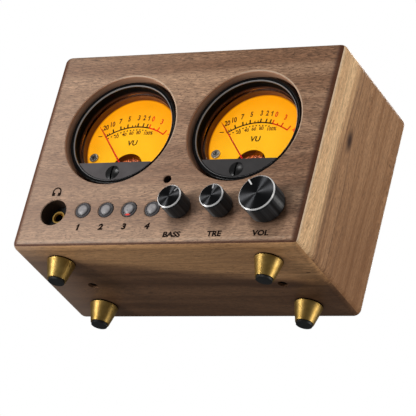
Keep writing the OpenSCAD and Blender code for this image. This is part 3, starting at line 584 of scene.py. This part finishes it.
def makeCopperWinding():
    material, tree = newMaterial("copperWinding", Metallic=0.5, Emission_Strength=copper["glow"])
    axes = axesInMm(tree)
    turns = plus(axes[1], axes[2])
    lines = useGroup(tree, turnedLines, {"Distance": turns, "Pitch": copper["pitch"], "Wander": axes[0]})
    paintedGlint = fade(lines["Lines"], 0.4, 0.6)
    return dress(material, lines, copper, Base_Color=blend(lines["Lines"], *copper["wire"]),
                 Emission_Color=blend(paintedGlint, *copper["lit"]),
                 Roughness=fade(lines["Lines"], 0.3, 0.7, *copper["rough"]))


finishes.update(satin_brass=makeTurnedBrass(), gold_plate=makeGold(), copper_wire=makeCopperWinding())


# Millimetres: radii from the meter's axis, and depths back from the front face
bezel = {"innerRadius": 27.0, "lip": 0.32, "gloss": (0.26, 0.36), "matt": 0.95, "lipCoat": 0.35,
         "ring": (srgb(9, 9, 10), srgb(150, 150, 152)), "tube": (srgb(9, 8, 7), srgb(100, 66, 50)),
         "tubeDepth": 3.2, "tubeEndDepth": 7.0, "wear": (5.0, 0.2), "bump": (0.05, 0.02)}


# Gloss black with a painted highlight on the lip, and a matt tube behind the lip
def makeBezelBlack():
    material, tree = newMaterial("bezelBlack", Coat_Roughness=0.15, Specular_IOR_Level=0.12)
    axes = axesInMm(tree)
    radius = fromMeter(axes)[2]
    wear = wearOn(tree, bezel)
    inner, outer = bezel["innerRadius"], bezel["innerRadius"] + bezel["lip"]
    beforeOuter = fade(radius, outer, outer + 0.1, 1.0, 0.0)
    lip = times(fade(radius, inner - 0.2, inner), beforeOuter)
    tubeFrom, endFrom = frontMm + bezel["tubeDepth"], frontMm + bezel["tubeEndDepth"]
    inside = fade(axes[1], tubeFrom, tubeFrom + 0.4)
    deep = fade(axes[1], endFrom, endFrom + 1.4)
    ring = blend(lip, *bezel["ring"])
    tube = blend(deep, *bezel["tube"])
    gloss = fade(wear["Blotches"], 0.0, 1.0, *bezel["gloss"])
    return dress(material, wear, bezel, Base_Color=blend(inside, ring, tube),
                 Roughness=calc("MAXIMUM", gloss, times(inside, bezel["matt"])),
                 Coat_Weight=times(lip, bezel["lipCoat"]))


# Painted light lightens the left mask, and painted shade darkens the right one
maskLook = {"paintedLit": (srgb(82, 78, 79), srgb(108, 103, 105)), "litTo": -50.0,
            "paintedShaded": (srgb(48, 46, 47), srgb(66, 64, 65)), "shadedFrom": 40.0,
            "wear": (7.0, 0.1), "bump": (0.4, 0.03), "rough": (0.36, 0.48)}


def makeMaskGrey():
    material, tree = newMaterial("maskGrey", Metallic=0.25, Coat_Weight=0.1)
    wear = wearOn(tree, maskLook)
    shade = mottled(wear)
    rightwards = fade(axesInMm(tree)[0], maskLook["litTo"], maskLook["shadedFrom"])
    paintedLit = blend(shade, *maskLook["paintedLit"])
    paintedShaded = blend(shade, *maskLook["paintedShaded"])
    return dress(material, wear, maskLook, Base_Color=blend(rightwards, paintedLit, paintedShaded),
                 Roughness=fade(wear["Speckle"], 0.3, 0.7, *maskLook["rough"]))


# The lamps stand low behind the dial, and the glow falls off from there
dialGlow = {"lit": (srgb(255, 184, 27), srgb(255, 160, 8)), "unlit": srgb(50, 16, 0),
            "strength": 1.0, "lampDrop": 8.0, "evenTo": 10.0, "fadedAt": 34.0,
            "rim": srgb(120, 40, 6), "rimWidth": 1.1, "rimDark": 0.7, "uneven": 3.0, "dimmed": 0.9,
            "wear": (2.5, 0.08), "bump": (0.1, 0.02)}


# The dial is a lit translucent plate: yellow low in the middle, deeper amber to the rim
def makeDialAmber():
    material, tree = newMaterial("dialAmber", Roughness=0.6, Specular_IOR_Level=0.05,
                                 Emission_Strength=dialGlow["strength"])
    x, z, radius = fromMeter(axesInMm(tree))
    wear = wearOn(tree, dialGlow)
    fromLamp = radiusAboutY(x, plus(z, dialGlow["lampDrop"]))
    spread = plus(fromLamp, times(wear["Blotches"], dialGlow["uneven"]))
    away = fade(spread, dialGlow["evenTo"], dialGlow["fadedAt"])
    # Painted shade darkens the dial towards its rim
    edge = halfWidthOf("right_dial")
    rim = fade(radius, edge - dialGlow["rimWidth"], edge, 0.0, dialGlow["rimDark"])
    lit = blend(away, *dialGlow["lit"])
    glow = blend(rim, lit, dialGlow["rim"])
    return dress(material, wear, dialGlow, Emission_Color=glow,
                 Base_Color=blend(dialGlow["dimmed"], glow, dialGlow["unlit"]))


glassLook = {"pane": (srgb(250, 252, 252), srgb(242, 246, 247)), "rim": srgb(120, 84, 66),
             "rimInset": 1.3, "wear": (1.5, 0.06), "rough": (0.0, 0.02)}


# Clear glass with a brown painted rim, which lets the lights reach the dial
def makeMeterGlass():
    material, tree = newMaterial("meterGlass", Transmission_Weight=1.0, Metallic=0.0, IOR=1.15)
    wear = wearOn(tree, glassLook)
    pane = blend(wear["Blotches"], *glassLook["pane"])
    rimFrom = bezel["innerRadius"] - glassLook["rimInset"]
    rim = fade(fromMeter(axesInMm(tree))[2], rimFrom, rimFrom + 0.2)
    clearWhere(tree, addNode(tree, "LightPath")["Is Shadow Ray"])
    return paint(material, Base_Color=blend(rim, pane, glassLook["rim"]),
                 Roughness=fade(wear["Speckle"], 0.6, 0.85, *glassLook["rough"]))


finishes.update(bezel_black=makeBezelBlack(), mask_grey=makeMaskGrey(), dial_amber=makeDialAmber(),
                meter_glass=makeMeterGlass())
print("stage: meter finishes mixed")


# Millimetres and degrees: how far a knob stands out, where its mark starts, and how it leans
knobs = {
    "bass": {"radius": 6.3, "proud": 11.8, "markFrom": 3.5, "angle": 40, "paint": srgb(150, 150, 152)},
    "treble": {"radius": 6.3, "proud": 11.8, "markFrom": 3.5, "angle": 0, "paint": srgb(190, 190, 192)},
    "volume": {"radius": 9.5, "proud": 13.0, "markFrom": 5.7, "angle": -40, "paint": srgb(245, 245, 245)},
}
anodised = {"face": (srgb(52, 53, 55), srgb(72, 73, 76)), "side": (srgb(9, 10, 11), srgb(66, 68, 71)),
            "rim": srgb(250, 250, 250), "rough": 0.4, "chamfer": 0.55,
            "linePitch": 0.3, "streaks": 5.0, "wear": (3.0, 0.2), "bump": (0.12, 0.02)}


# Black anodised aluminium with a spun face and a bright cut rim
def makeAnodised(name):
    knob = knobs[name]
    material, tree = newMaterial(name + "Anodised", Anisotropic=1.0, Anisotropic_Rotation=0.25)
    centre = knobCentres[name]
    axes = axesInMm(tree, centre)
    radius = radiusAboutY(axes[0], axes[2])
    chamferEnd = (frontY - centre.y) / mm - knob["proud"] + anodised["chamfer"]
    onFront = fade(axes[1], chamferEnd, chamferEnd + 0.05, 1.0, 0.0)
    rimFrom = knob["radius"] - anodised["chamfer"]
    rim = times(onFront, fade(radius, rimFrom - 0.05, rimFrom + 0.05))
    lines = useGroup(tree, turnedLines, {"Distance": radius, "Pitch": anodised["linePitch"], "Wander": 0.0})
    wear = wearOn(tree, anodised)
    turn = times(calc("ARCTAN2", axes[0], axes[2]), anodised["streaks"])
    streaks = fade(noise(joinVector(turn, 0.0, 0.0), 1.0, 3.0, 0.6), 0.3, 0.7)
    side = blend(streaks, *anodised["side"])
    face = blend(lines["Lines"], *anodised["face"])
    black = blend(onFront, side, face)
    tangent = addNode(tree, "Tangent", {"direction_type": "RADIAL", "axis": "Y"})
    return dress(material, lines, anodised,
                 Base_Color=blend(rim, black, anodised["rim"]), Tangent=tangent[0],
                 Roughness=plus(times(wear["Blotches"], 0.08), anodised["rough"] - 0.04),
                 Metallic=minus(fade(onFront, 0.0, 1.0, 0.12, 1.0), times(rim, 0.75)))


# The signal lamp shines through the lower edge of the lit button
button = {"cap": srgb(84, 82, 85), "dome": srgb(164, 161, 163), "grime": srgb(80, 78, 82),
          "groove": srgb(30, 29, 31), "domeRadius": 2.9, "grooveRadius": 3.1, "lit": 3,
          "lamp": srgb(232, 50, 32), "lampPlace": (0.1, -3.1), "lampHalves": (1.7, 0.6),
          "wear": (3.0, 0.4), "bump": (0.1, 0.03), "rough": (0.34, 0.48)}


def makeButtonGrey(index):
    isLit = index == button["lit"]
    material, tree = newMaterial("buttonGrey" + str(index), Emission_Strength=1.0 if isLit else 0.0)
    axes = axesInMm(tree, buttonCentres[index - 1])
    radius = radiusAboutY(axes[0], axes[2])
    wear = wearOn(tree, button)
    dome = fade(radius, button["domeRadius"] - 1.0, button["domeRadius"], 1.0, 0.0)
    cap = blend(dome, button["cap"], button["dome"])
    wearAndHighlight = blend(times(wear["Blotches"], 0.25), cap, button["grime"])
    # Painted shade darkens the groove, most towards the lower right
    groove = bandAbout(radius, button["grooveRadius"], 0.1, 0.6)
    shaded = times(groove, fade(minus(axes[0], axes[2]), 0.4, 3.0, 0.0, 0.8))
    if isLit:
        away = ovalFrom((axes[0], axes[2]), button["lampPlace"], button["lampHalves"])
        spot = fade(away, 0.3, 1.2, 1.0, 0.0)
        paint(material, Emission_Color=blend(spot, (0, 0, 0, 1), button["lamp"]))
    return dress(material, wear, button, Base_Color=blend(shaded, wearAndHighlight, button["groove"]),
                 Roughness=fade(wear["Speckle"], 0.3, 0.7, *button["rough"]))


phono = {"plastic": (srgb(228, 226, 220), srgb(176, 30, 28)), "grime": srgb(60, 58, 56), "pairWidth": 32.0,
         "pairStart": 47.0, "wear": (3.0, 0.3), "bump": (0.1, 0.03), "rough": (0.38, 0.42)}


# White and red insulators in the rear sockets
def makePhonoPlastic():
    material, tree = newMaterial("phonoPlastic", Coat_Weight=0.2)
    wear = wearOn(tree, phono)
    x = axesInMm(tree)[0]
    half = phono["pairWidth"] / 2
    acrossPair = calc("PINGPONG", plus(x, phono["pairStart"]), half)
    isRed = calc("GREATER_THAN", calc("SINE", times(x, tau / phono["pairWidth"])), 0.0)
    colour = blend(isRed, *phono["plastic"])
    grime = times(wear["Blotches"], 0.12)
    return dress(material, wear, phono, Base_Color=blend(grime, colour, phono["grime"]),
                 Roughness=fade(acrossPair, 0.0, half, *phono["rough"]))


movement = {"metal": (srgb(110, 52, 34), srgb(236, 150, 110)), "lit": (srgb(52, 10, 4), srgb(255, 120, 60)),
            "glow": 0.45, "wear": (1.6, 0.5), "bump": (0.3, 0.05), "rough": (0.3, 0.5)}


# Seen through the dial's notch: mottled, with painted glints and a painted warm glow standing in for the
# lamps behind the dial
def makeMovementMetal():
    material, tree = newMaterial("movementMetal", Metallic=0.6, Emission_Strength=movement["glow"])
    wear = wearOn(tree, movement)
    paintedGlint = fade(wear["Speckle"], 0.45, 0.75)
    return dress(material, wear, movement, Base_Color=blend(paintedGlint, *movement["metal"]),
                 Emission_Color=blend(paintedGlint, *movement["lit"]),
                 Roughness=fade(wear["Blotches"], 0.0, 1.0, *movement["rough"]))


finishes.update(phono_white=makePhonoPlastic(), movement_metal=makeMovementMetal())


# Some nodes have a finish of their own, and the others take the one of their slot
def finishFor(nodeName, slotName):
    if nodeName in walnutMaterials:
        return walnutMaterials[nodeName]
    if nodeName.endswith("_zero_screw"):
        return finishes["zero_black"]
    if nodeName == "dial_screws":
        return finishes["dull_steel"]
    if nodeName.endswith(("_movement_frame", "_magnet_core")):
        return finishes["movement_metal"]
    if nodeName.endswith("_knob"):
        return makeAnodised(nodeName.split("_")[0])
    if nodeName.startswith("button_") and nodeName[-1].isdigit():
        return makeButtonGrey(int(nodeName[-1]))
    return finishes[slotName]


for nodeName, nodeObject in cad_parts.items():
    slots = nodeObject.material_slots
    finish = finishFor(nodeName, slots[0].material.name.split(".")[0])
    for slot in slots:
        slot.material = finish
print("stage: finishes on", len(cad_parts), "nodes")


inkDepth = 0.02


# A plate is an outline in x and z, in millimetres, with a thickness along y
def addPlate(mesh, outline, thickness=inkDepth):
    face = [mesh.verts.new((x * mm, -thickness * mm, z * mm)) for x, z in outline]
    back = [mesh.verts.new((x * mm, 0, z * mm)) for x, z in outline]
    mesh.faces.new(face)
    mesh.faces.new(back[::-1])
    count = len(outline)
    for i in range(count):
        j = (i + 1) % count
        mesh.faces.new((face[i], back[i], back[j], face[j]))


def bar(x0, z0, x1, z1):
    return [(x0, z0), (x0, z1), (x1, z1), (x1, z0)]


def polar(radius, degrees, centreZ=0.0):
    angle = radians(degrees)
    return radius * sin(angle), centreZ + radius * cos(angle)


def arcBand(inner, outer, start, end, centreZ=0.0, steps=32):
    angles = [start + (end - start) * i / steps for i in range(steps + 1)]
    return [polar(outer, a, centreZ) for a in angles] + [polar(inner, a, centreZ) for a in reversed(angles)]


def radialBar(inner, outer, degrees, width, centreZ=0.0):
    x0, z0 = polar(inner, degrees, centreZ)
    x1, z1 = polar(outer, degrees, centreZ)
    dx, dz = polar(width / 2, degrees + 90)
    return [(x0 - dx, z0 - dz), (x1 - dx, z1 - dz), (x1 + dx, z1 + dz), (x0 + dx, z0 + dz)]


def circle(x, z, radius, sides=12):
    turns = [tau * i / sides for i in range(sides)]
    return [(x + radius * sin(turn), z + radius * cos(turn)) for turn in turns]


capHeight = 0.72      # of the font's size


# Lettering becomes a flat mesh, upright in the x-z plane and facing the front
def addText(mesh, text, x, z, height, stretch=1.0, slant=0.0, turn=0.0, bold=0.0):
    curve = setAll(bpy.data.curves.new("lettering", "FONT"), body=text, size=height / capHeight * mm,
                   shear=slant, offset=bold * mm, extrude=inkDepth / 2 * mm, resolution_u=3,
                   align_x="CENTER", align_y="CENTER")
    holder = bpy.data.objects.new("lettering", curve)
    flat = bpy.data.meshes.new_from_object(holder)
    place = Matrix.Translation((x * mm, -inkDepth * mm, z * mm)) @ Matrix.Rotation(radians(turn), 4, "Y")
    flat.transform(place @ Matrix.Rotation(radians(90), 4, "X") @ Matrix.Diagonal((stretch, 1, 1, 1)))
    mesh.from_mesh(flat)
    bpy.data.objects.remove(holder)
    bpy.data.curves.remove(curve)
    bpy.data.meshes.remove(flat)


# The font's 1 is a bare stroke, so it gets its flag here
def addFlag(mesh, x, z, height):
    outline = [(-0.02, 0.5), (-0.3, 0.3), (-0.3, 0.17), (-0.02, 0.33)]
    addPlate(mesh, [(x + px * height, z + pz * height) for px, pz in outline], 0.03)


# A piece is turned about y, faced about z, placed, and rides on its body
def finishPiece(name, mesh, material, body, place, turn=0.0, facing=0.0):
    data = bpy.data.meshes.new(name)
    mesh.normal_update()
    mesh.to_mesh(data)
    mesh.free()
    lean = Matrix.Rotation(radians(facing), 4, "Z") @ Matrix.Rotation(radians(turn), 4, "Y")
    data.transform(Matrix.Translation(place) @ lean)
    data.materials.append(material)
    piece = addObject(name, data)
    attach(piece, body)


# Angles run clockwise from upright about the needle's pivot, and zeroAngle is where the red zone starts
scale = {
    "pivotZ": -20.0, "arcRadius": 29.6, "arcWidth": 0.68,
    "arcStart": -34.6, "zeroAngle": 14.0, "arcEnd": 33.5,
    "tick": 2.2, "tickWidth": 0.74, "shortTick": 1.2, "shortTickWidth": 0.5,
    "dotRadius": 27.9, "dotSize": 0.4, "dots": 13, "dotPitch": 3.7,
    "numeralRadius": 34.8, "numeralLean": 0.35, "numeral": {"height": 2.85, "stretch": 0.76, "bold": 0.13},
    "percent": {"height": 1.95, "stretch": 0.92, "bold": 0.07},
    "unit": {"height": 2.9, "stretch": 1.05, "slant": 0.08, "bold": 0.1},
    "ink": srgb(22, 5, 2), "numeralInk": srgb(78, 26, 5), "red": srgb(226, 24, 4),
}
numerals = [("20", -31.3), ("10", -25.2), ("7", -17.6), ("5", -9.3), ("3", -0.3), ("2", 5.0), ("1", 9.7)]
redNumerals = [("0", 13.8, 5.0), ("3", 23.3, 8.0)]      # with their lean
longTicks = [-34.5, -25.5, -17.7, -10.3, 0.6, 6.4, 11.0]
shortTicks = [-32.3, -30.2, -14.1, -5.4, -2.1]
redTicks = [(14.0, 2.2), (19.5, 1.0), (24.6, 2.2), (33.3, 2.8)]      # with their length
percents = [("20", -10.5, 4.4), ("40", -6.3, 5.4), ("60", -2.4, 6.0), ("80", 1.7, 6.2), ("100%", 7.4, 5.7)]
minusSign = bar(-21.2, 4.5, -18.9, 4.95)
plusSign = [bar(18.9, 4.5, 21.2, 4.95), bar(19.83, 3.58, 20.28, 5.88)]


def makeInk(name, colour):
    return makeFinish(name, colour, 0.7, grain=5.0, blotch=0.4, bump=0.05, spread=0.25, shine=0.1)


scaleInk = makeInk("scaleInk", scale["ink"])
numeralInk = makeInk("numeralInk", scale["numeralInk"])
scaleRed = makeInk("scaleRed", scale["red"])


def addArc(mesh, start, end):
    half = scale["arcWidth"] / 2
    addPlate(mesh, arcBand(scale["arcRadius"] - half, scale["arcRadius"] + half, start, end, scale["pivotZ"]))


def addTick(mesh, angle, length, width):
    foot = scale["arcRadius"]
    addPlate(mesh, radialBar(foot, foot + length, angle, width, scale["pivotZ"]))


def addNumeral(mesh, text, angle, lean):
    x, z = polar(scale["numeralRadius"], angle, scale["pivotZ"])
    addText(mesh, text, x, z, turn=lean, **scale["numeral"])
    if text == "1":
        addFlag(mesh, x, z, scale["numeral"]["height"])


def makeDialScale(side):
    centre = meterCentres[side]
    plate = Vector((centre.x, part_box(side + "_dial")[0].y - 0.01 * mm, centre.z))
    black = bmesh.new()
    addArc(black, scale["arcStart"], scale["zeroAngle"])
    for angle in longTicks:
        addTick(black, angle, scale["tick"], scale["tickWidth"])
    for angle in shortTicks:
        addTick(black, angle, scale["shortTick"], scale["shortTickWidth"])
    for i in range(scale["dots"]):
        x, z = polar(scale["dotRadius"], scale["arcStart"] + scale["dotPitch"] * (i + 0.5), scale["pivotZ"])
        addPlate(black, circle(x, z, scale["dotSize"]))
    addPlate(black, minusSign)
    addText(black, "VU", -0.2, 0.2, **scale["unit"])
    finishPiece(side + "ScaleBlack", black, scaleInk, "cabinet", plate)
    digits = bmesh.new()
    for text, angle in numerals:
        addNumeral(digits, text, angle, angle * scale["numeralLean"])
    for text, x, z in percents:
        addText(digits, text, x, z, **scale["percent"])
    finishPiece(side + "ScaleNumerals", digits, numeralInk, "cabinet", plate)
    red = bmesh.new()
    addArc(red, scale["zeroAngle"], scale["arcEnd"])
    for angle, length in redTicks:
        addTick(red, angle, length, scale["tickWidth"])
    for text, angle, lean in redNumerals:
        addNumeral(red, text, angle, lean)
    for stroke, thickness in zip(plusSign, (inkDepth, 0.03)):      # the upright lies over the level stroke
        addPlate(red, stroke, thickness)
    finishPiece(side + "ScaleRed", red, scaleRed, "cabinet", plate)


for side in meterSides:
    makeDialScale(side)
print("stage: dial scales printed")


lettering = {"ink": srgb(30, 18, 12), "words": [("BASS", 10.6), ("TRE", 34.0), ("VOL", 59.1)],
             "wordZ": 5.7, "word": {"height": 2.9, "stretch": 1.12, "slant": 0.03, "bold": 0.16},
             "digitZ": 10.5, "digit": {"height": 3.1, "stretch": 1.12, "slant": 0.1, "bold": 0.26},
             "digitShift": -0.3}
# The headphone sign is a band, and a strap and a cup on each side of its middle
phonesSign = {"x": -61.3, "z": 31.0, "band": (1.75, 2.5), "halves": [
    [(1.75, -1.2), (1.75, 0.0), (2.5, 0.0), (2.5, -1.2)],
    [(0.8, -2.4), (0.8, -0.5), (2.0, -0.5), (2.6, -1.0), (2.6, -1.9), (2.1, -2.4)]]}


def makeFrontLettering():
    words = bmesh.new()
    for word, x in lettering["words"]:
        addText(words, word, x, lettering["wordZ"], **lettering["word"])
    for i, centre in enumerate(buttonCentres):
        x = centre.x / mm + lettering["digitShift"]
        addText(words, str(i + 1), x, lettering["digitZ"], **lettering["digit"])
    x = buttonCentres[0].x / mm + lettering["digitShift"]
    addFlag(words, x, lettering["digitZ"], lettering["digit"]["height"])
    icon = [arcBand(*phonesSign["band"], -90, 90)]
    for way in (-1, 1):
        icon += [[(way * x, z) for x, z in outline][::way] for outline in phonesSign["halves"]]
    for outline in icon:
        addPlate(words, [(phonesSign["x"] + x, phonesSign["z"] + z) for x, z in outline])
    place = Vector((0, frontY - 0.01 * mm, undersideZ))
    finishPiece("frontLettering", words, makeInk("labelInk", lettering["ink"]), "cabinet", place)


makeFrontLettering()
print("stage: front lettered")


# The rear panel carries pale print and a cross-head screw in each corner
rear = {"ink": srgb(196, 196, 192), "height": 2.9, "bold": 0.1, "pairHalf": 12.6, "socketHalf": 7.0,
        "wordRise": 11.6, "lineRise": 8.4, "lineWidth": 0.35, "letterDrop": 8.6, "inletRise": 8.2}
panelScrew = {"radius": 2.4, "inset": 4.2, "head": 1.0, "slotReach": 1.7, "slotHalf": 0.36, "arcSteps": 6,
              "rounding": 0.08}
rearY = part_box("rear_chassis")[1].y


# Its x runs to the right as seen from behind
def makeRearPrint():
    low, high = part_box("phono_shells")
    inlet = middleOf("power_inlet") / mm
    half, socketZ = rear["pairHalf"], (low.z + high.z) / 2 / mm
    lineZ, letterZ = socketZ + rear["lineRise"], socketZ - rear["letterDrop"]
    labels = [("DC", -inlet.x, inlet.z + rear["inletRise"])]
    words = bmesh.new()
    for word, x in (("IN", half - high.x / mm), ("OUT", -low.x / mm - half)):
        addPlate(words, bar(x - half, lineZ, x + half, lineZ + rear["lineWidth"]))
        labels += [(word, x, socketZ + rear["wordRise"]), ("L", x - rear["socketHalf"], letterZ),
                   ("R", x + rear["socketHalf"], letterZ)]
    for text, x, z in labels:
        addText(words, text, x, z, rear["height"], bold=rear["bold"])
    place = Vector((0, rearY + 0.01 * mm, 0))
    ink = makeInk("rearInk", rear["ink"])
    finishPiece("rearPrint", words, ink, "cabinet", place, facing=180.0)


# Four quarters of a head leave a cross between them
def addScrewHead(mesh, x, z):
    half, reach = panelScrew["slotHalf"], panelScrew["slotReach"]
    steps = panelScrew["arcSteps"]
    arc = [polar(panelScrew["radius"], 90.0 * i / steps) for i in range(steps + 1)]
    quarter = [(half, half), (half, reach), (0.0, reach)] + arc + [(reach, 0.0), (reach, half)]
    for turn in range(4):
        c, s = cos(radians(90.0 * turn)), sin(radians(90.0 * turn))
        addPlate(mesh, [(x + px * c + pz * s, z - px * s + pz * c) for px, pz in quarter], panelScrew["head"])


def makePanelScrews():
    low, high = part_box("rear_chassis")
    inset = panelScrew["inset"]
    heads = bmesh.new()
    for x in (low.x / mm + inset, high.x / mm - inset):
        for z in (low.z / mm + inset, high.z / mm - inset):
            addScrewHead(heads, x, z)
    edges = [edge for edge in heads.edges if edge.calc_face_angle(0.0) > 1.0]
    bmesh.ops.bevel(heads, geom=edges, offset=panelScrew["rounding"] * mm, segments=1, affect="EDGES")
    place = Vector((0, rearY, 0))
    finishPiece("panelScrews", heads, finishes["zinc_steel"], "cabinet", place, facing=180.0)


makeRearPrint()
makePanelScrews()
print("stage: rear panel printed and screwed")


# The paint lies in a groove of the knob's face
knobMark = {"halfWidth": 0.38, "rimGap": 0.12, "depth": 0.28, "sunk": 0.35}


def makeKnobMark(name):
    knob = knobs[name]
    half = knobMark["halfWidth"]
    mark = bmesh.new()
    addPlate(mark, bar(-half, knob["markFrom"], half, knob["radius"] - knobMark["rimGap"]), knobMark["depth"])
    centre = knobCentres[name]
    place = Vector((centre.x, frontY - (knob["proud"] - knobMark["sunk"]) * mm, centre.z))
    ink = makeInk(name + "Paint", knob["paint"])
    finishPiece(name + "Mark", mark, ink, name + "_dial", place, knob["angle"])


for name in knobNames:
    makeKnobMark(name)


# Painted blades on the needles, which rest at the left end of the scale
blade = {"from": 4.0, "halfWidth": 0.18, "halfTip": 0.14, "tipGap": 0.2, "thickness": 0.05, "pivotDrop": 16.1,
         "restAngle": -38.5, "red": srgb(196, 10, 4)}
bladeRed = makeFinish("bladeRed", blade["red"], 0.6, grain=2.0, shine=0.1)


def makeNeedleBlade(side):
    low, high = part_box(side + "_needle")
    pivot = Vector((meterCentres[side].x, low.y, meterCentres[side].z - blade["pivotDrop"] * mm))
    tip = (high.z - pivot.z) / cos(radians(blade["restAngle"])) / mm - blade["tipGap"]
    mesh = bmesh.new()
    addPlate(mesh, [(-blade["halfWidth"], blade["from"]), (-blade["halfTip"], tip), (blade["halfTip"], tip),
                    (blade["halfWidth"], blade["from"])], blade["thickness"])
    finishPiece(side + "Blade", mesh, bladeRed, side + "_pointer", pivot, blade["restAngle"])


for side in meterSides:
    makeNeedleBlade(side)
print("stage: knob marks and needle blades painted")


# Metres. A light is its name, place, size, power and colour, and all lights look at the target
studio = {
    "world": 0.27, "mirrored": 0.12, "target": (0, 0, 0.06),
    "floorSize": 1.6, "floorSolid": 0.35, "floorGone": 1.5, "floorDrop": 0.0003,
    "floor": (srgb(226, 226, 228), srgb(232, 232, 233)), "wear": (0.5, 0.01),
    "lights": [
        ("keyLight", (-0.16, -1.26, 0.89), 0.28, 5.4, (1.0, 0.98, 0.95)),
        ("leftLight", (-0.32, -0.38, -0.09), 0.16, 1.3, (1.0, 0.99, 0.97)),
        ("rightLight", (1.20, 0.25, 0.22), 0.50, 6.6, (1.0, 0.97, 0.92)),
        ("backLight", (-0.20, 1.10, 0.90), 0.70, 9.0, (1.0, 1.0, 1.0)),
    ],
}


# Only the floor's upper face shows, and it fades away with the distance
def makeFloor():
    size, level = studio["floorSize"], -studio["floorDrop"]
    corners = [(-size, -size, level), (size, -size, level), (size, size, level), (-size, size, level)]
    data = bpy.data.meshes.new("floor")
    data.from_pydata(corners, [], [(0, 1, 2, 3)])
    floor = addObject("floor", data)
    material, tree = newMaterial("paleFloor", Roughness=0.6)
    wear = wearOn(tree, studio)
    paint(material, Base_Color=blend(wear["Blotches"], *studio["floor"]))
    fromBelow = addNode(tree, "NewGeometry")["Backfacing"]
    away = vectorCalc("LENGTH", placeInMm(tree)).node.outputs["Value"]
    faraway = fade(away, studio["floorSolid"] / mm, studio["floorGone"] / mm)
    clearWhere(tree, calc("MAXIMUM", fromBelow, faraway))
    data.materials.append(material)
    setAll(floor, visible_diffuse=False, visible_glossy=False, visible_transmission=False,
           visible_shadow=False)


def makeLights():
    target = Vector(studio["target"])
    for name, place, size, power, colour in studio["lights"]:
        light = bpy.data.lights.new(name, "AREA")
        lamp = addObject(name, setAll(light, shape="DISK", size=size, energy=power, color=colour))
        lamp.location = place
        lamp.rotation_euler = (target - Vector(place)).to_track_quat("-Z", "Y").to_euler()


# The camera sees white, gloss sees a dim room, and everything else is lit softly
def makeWorld():
    world = bpy.data.worlds.new("studio")
    bpy.context.scene.world = world
    world.use_nodes = True
    tree = world.node_tree
    soft = tree.nodes["Background"]
    soft.inputs[0].default_value = (1, 1, 1, 1)
    soft.inputs[1].default_value = studio["world"]
    dim = addNode(tree, "Background", None, {0: (1, 1, 1, 1), 1: studio["mirrored"]})
    white = addNode(tree, "Background", None, {0: (1, 1, 1, 1), 1: 1.0})
    path = addNode(tree, "LightPath")
    room = mixShaders(path["Is Glossy Ray"], soft.outputs[0], dim[0])
    seen = mixShaders(path["Is Camera Ray"], room, white[0])
    wire(tree.nodes["World Output"], Surface=seen)


# The photograph's view: from low on the right, looking up, rolled
view = {"place": (0.768891, -1.167128, -0.624257), "right": (0.86965149, 0.43769815, 0.22831253),
        "up": (0.01899824, -0.49181440, 0.87049277), "back": (0.49330047, -0.75268780, -0.43602262),
        "settings": {"lens": 272.585, "sensor_width": 36, "clip_start": 0.01, "clip_end": 20}}


def makeCamera():
    data = setAll(bpy.data.cameras.new("photoView"), **view["settings"])
    camera = addObject("photoView", data)
    turn = Matrix((view["right"], view["up"], view["back"])).transposed().to_4x4()
    camera.matrix_world = Matrix.Translation(view["place"]) @ turn
    bpy.context.scene.camera = camera


makeFloor()
makeLights()
makeWorld()
makeCamera()
bpy.context.scene.view_settings.view_transform = "Standard"
print("stage: studio set up")
